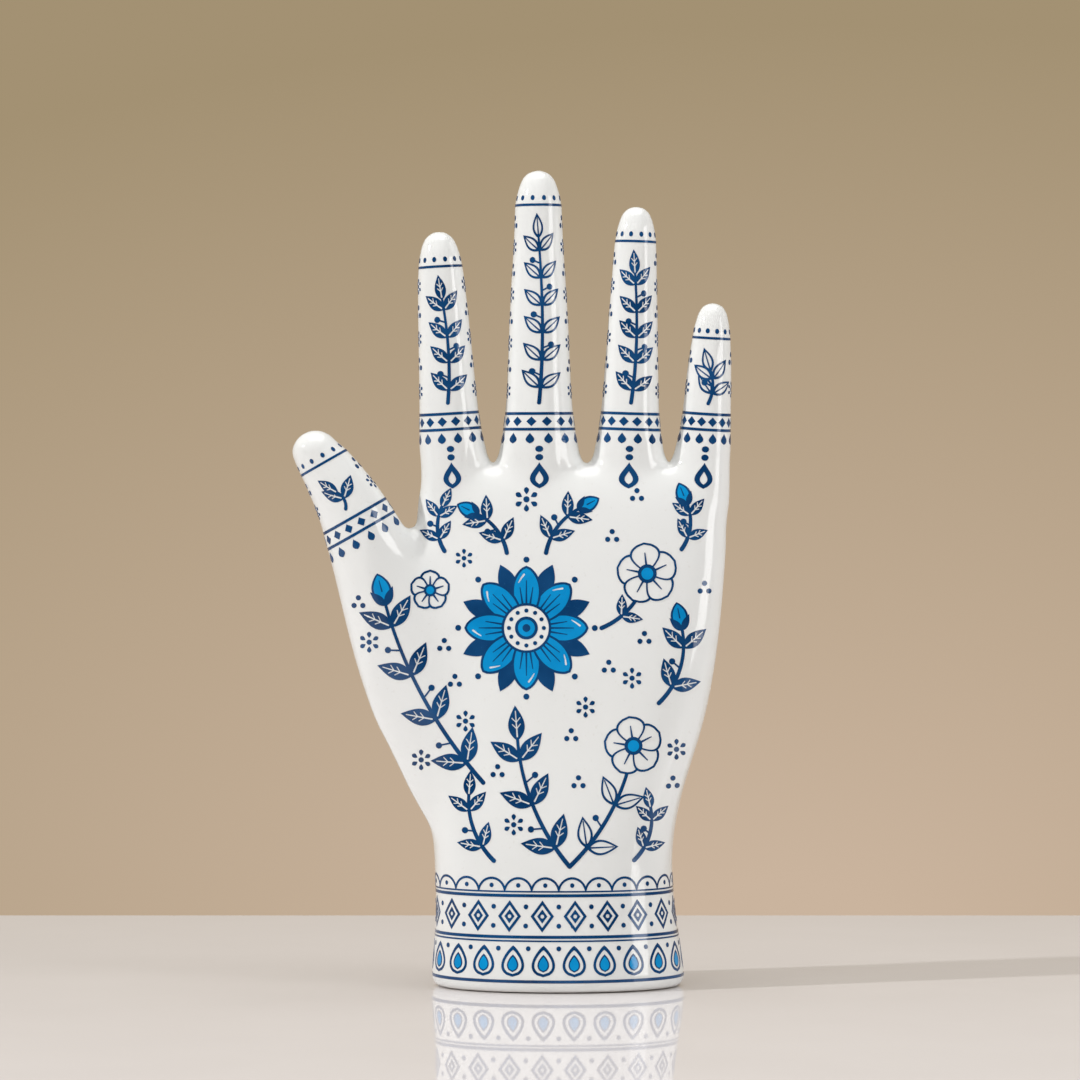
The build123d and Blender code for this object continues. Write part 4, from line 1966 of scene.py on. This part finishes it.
@dataclass
class Stage:
    """The table, the light and the camera, in metres.

    Attributes:
        table_front: The table's near edge.
        table_back: Its far edge.
        table_half_width: Half its width.
        table_thickness: Its thickness.
        table_edge: The round of its edges.
        wall_lit: The plain wall's colour where the light falls on it.
        wall_dim: Its colour away from there.
        glow_at: The slopes across and up at which the light falls on it.
        glow_span: How far from there it starts and ends to dim.
        glow_squash: How much less a step across counts than a step up.
        glow_side: The most that a step across counts.
        room: What glossy surfaces show of the room in front.
        room_edge: The slopes between which that gives way to the wall.
        ambient: The colour of the light from all round.
        lamps: The lamps.
        camera_height: The lens' height.
        camera_across: The lens' place across.
        camera_distance: From the lens to the hand's middle plane.
        view_width: What the picture spans at that plane.
        sensor: The camera's sensor width, in millimetres.
    """

    table_front: float = -1.1
    table_back: float = 0.224
    table_half_width: float = 1.6
    table_thickness: float = 0.03
    table_edge: float = 1.5 * MM
    wall_lit: Colour = (0.591, 0.456, 0.342, 1.0)
    wall_dim: Colour = (0.366, 0.283, 0.171, 1.0)
    glow_at: Span = (0.057, -0.096)
    glow_span: Span = (0.016, 0.216)
    glow_squash: float = 0.55
    glow_side: float = 0.1
    room: Colour = (0.05, 0.048, 0.045, 1.0)
    room_edge: Span = (-0.2, 0.2)
    ambient: Colour = (0.29, 0.289, 0.284, 1.0)
    lamps: tuple[Lamp, ...] = (
        Lamp("key", (-2.66, -0.92, 1.68), (0.1, 0.1), 57.0),
        Lamp("top", (0.0, 0.0, 1.5), (1.2, 1.2), 13.0),
        Lamp("front", (0.4, -1.7, 0.3), (2.2, 2.2), 6.5, mirrored=False),
        Lamp("window", (0.9, -0.48, 0.35), (0.34, 0.6), 2.9),
    )
    camera_height: float = 125.6 * MM
    camera_across: float = -5.2 * MM
    camera_distance: float = 1.2
    view_width: float = 304.8 * MM
    sensor: float = 36.0

    def build(self) -> None:
        """Sets the table, the light and the camera."""
        self.table()
        self.world()
        for lamp in self.lamps:
            lamp.hang(Vector((0, 0, self.camera_height)))
        self.camera()
        bpy.context.scene.view_settings.view_transform = "Standard"

    def table(self) -> None:
        """Lays the pale glossy table top."""
        bpy.ops.object.select_all(action="DESELECT")
        middle = (self.table_front + self.table_back) / 2
        bpy.ops.mesh.primitive_cube_add(size=1, location=(0, middle, -self.table_thickness / 2))
        top = bpy.context.active_object
        top.name = "table_top"
        top.scale = (2 * self.table_half_width, self.table_back - self.table_front, self.table_thickness)
        bpy.ops.object.transform_apply(location=True, rotation=True, scale=True)
        apply_modifier(top, "BEVEL", width=self.table_edge, segments=3)
        top.data.materials.append(TABLE_TOP.material())

    def world(self) -> None:
        """Shows the plain wall to the lens and in reflections, and lights the hand evenly from all round."""
        world = bpy.data.worlds.new("studio")
        world.use_nodes = True
        bpy.context.scene.world = world
        board = NodeBoard(world.node_tree)
        path = board.add("ShaderNodeLightPath").outputs
        sight = board.add("ShaderNodeTexCoord").outputs["Generated"]
        way = board.add("ShaderNodeSeparateXYZ", Vector=sight).outputs
        across = board.maths("MULTIPLY", board.maths("SUBTRACT", way["X"], self.glow_at[0]), self.glow_squash)
        across = board.maths("MINIMUM", board.maths("ABSOLUTE", across), self.glow_side)
        upward = board.maths("SUBTRACT", way["Z"], self.glow_at[1])
        step = board.add("ShaderNodeCombineXYZ", X=across, Y=upward).outputs["Vector"]
        away = board.add("ShaderNodeVectorMath", {"operation": "LENGTH"}, Vector=step).outputs["Value"]
        wall = board.mix(board.remap(away, self.glow_span), self.wall_lit, self.wall_dim)
        mirrored = board.mix(board.remap(way["Y"], self.room_edge), self.room, wall)
        seen = board.maths("MAXIMUM", path["Is Camera Ray"], path["Is Transmission Ray"])
        colour = board.mix(seen, self.ambient, wall)
        colour = board.mix(path["Is Glossy Ray"], colour, mirrored)
        light = board.add("ShaderNodeBackground", Color=colour, Strength=1.0)
        board.add("ShaderNodeOutputWorld", Surface=light.outputs["Background"])

    def camera(self) -> None:
        """Sets the level camera in front of the palm."""
        data = bpy.data.cameras.new("camera")
        data.sensor_width = self.sensor
        data.lens = self.sensor * self.camera_distance / self.view_width
        camera = bpy.data.objects.new("camera", data)
        camera.location = (self.camera_across, -self.camera_distance, self.camera_height)
        camera.rotation_euler = (math.pi / 2, 0, 0)
        bpy.context.scene.collection.objects.link(camera)
        bpy.context.scene.camera = camera


def main() -> None:
    """Builds the hand, its transfers, its pad and the scene; each piece reports itself to the log."""
    logging.basicConfig(level=logging.INFO, format="%(message)s")
    hand = PorcelainHand().build()
    surface = BVHTree.FromObject(hand, bpy.context.evaluated_depsgraph_get())
    for decoration in (PalmDecoration(), BackDecoration(), *DIGITS, WristDecoration()):
        decoration.build(surface)
    BasePad().build()
    Stage().build()


if __name__ == "__main__":
    main()
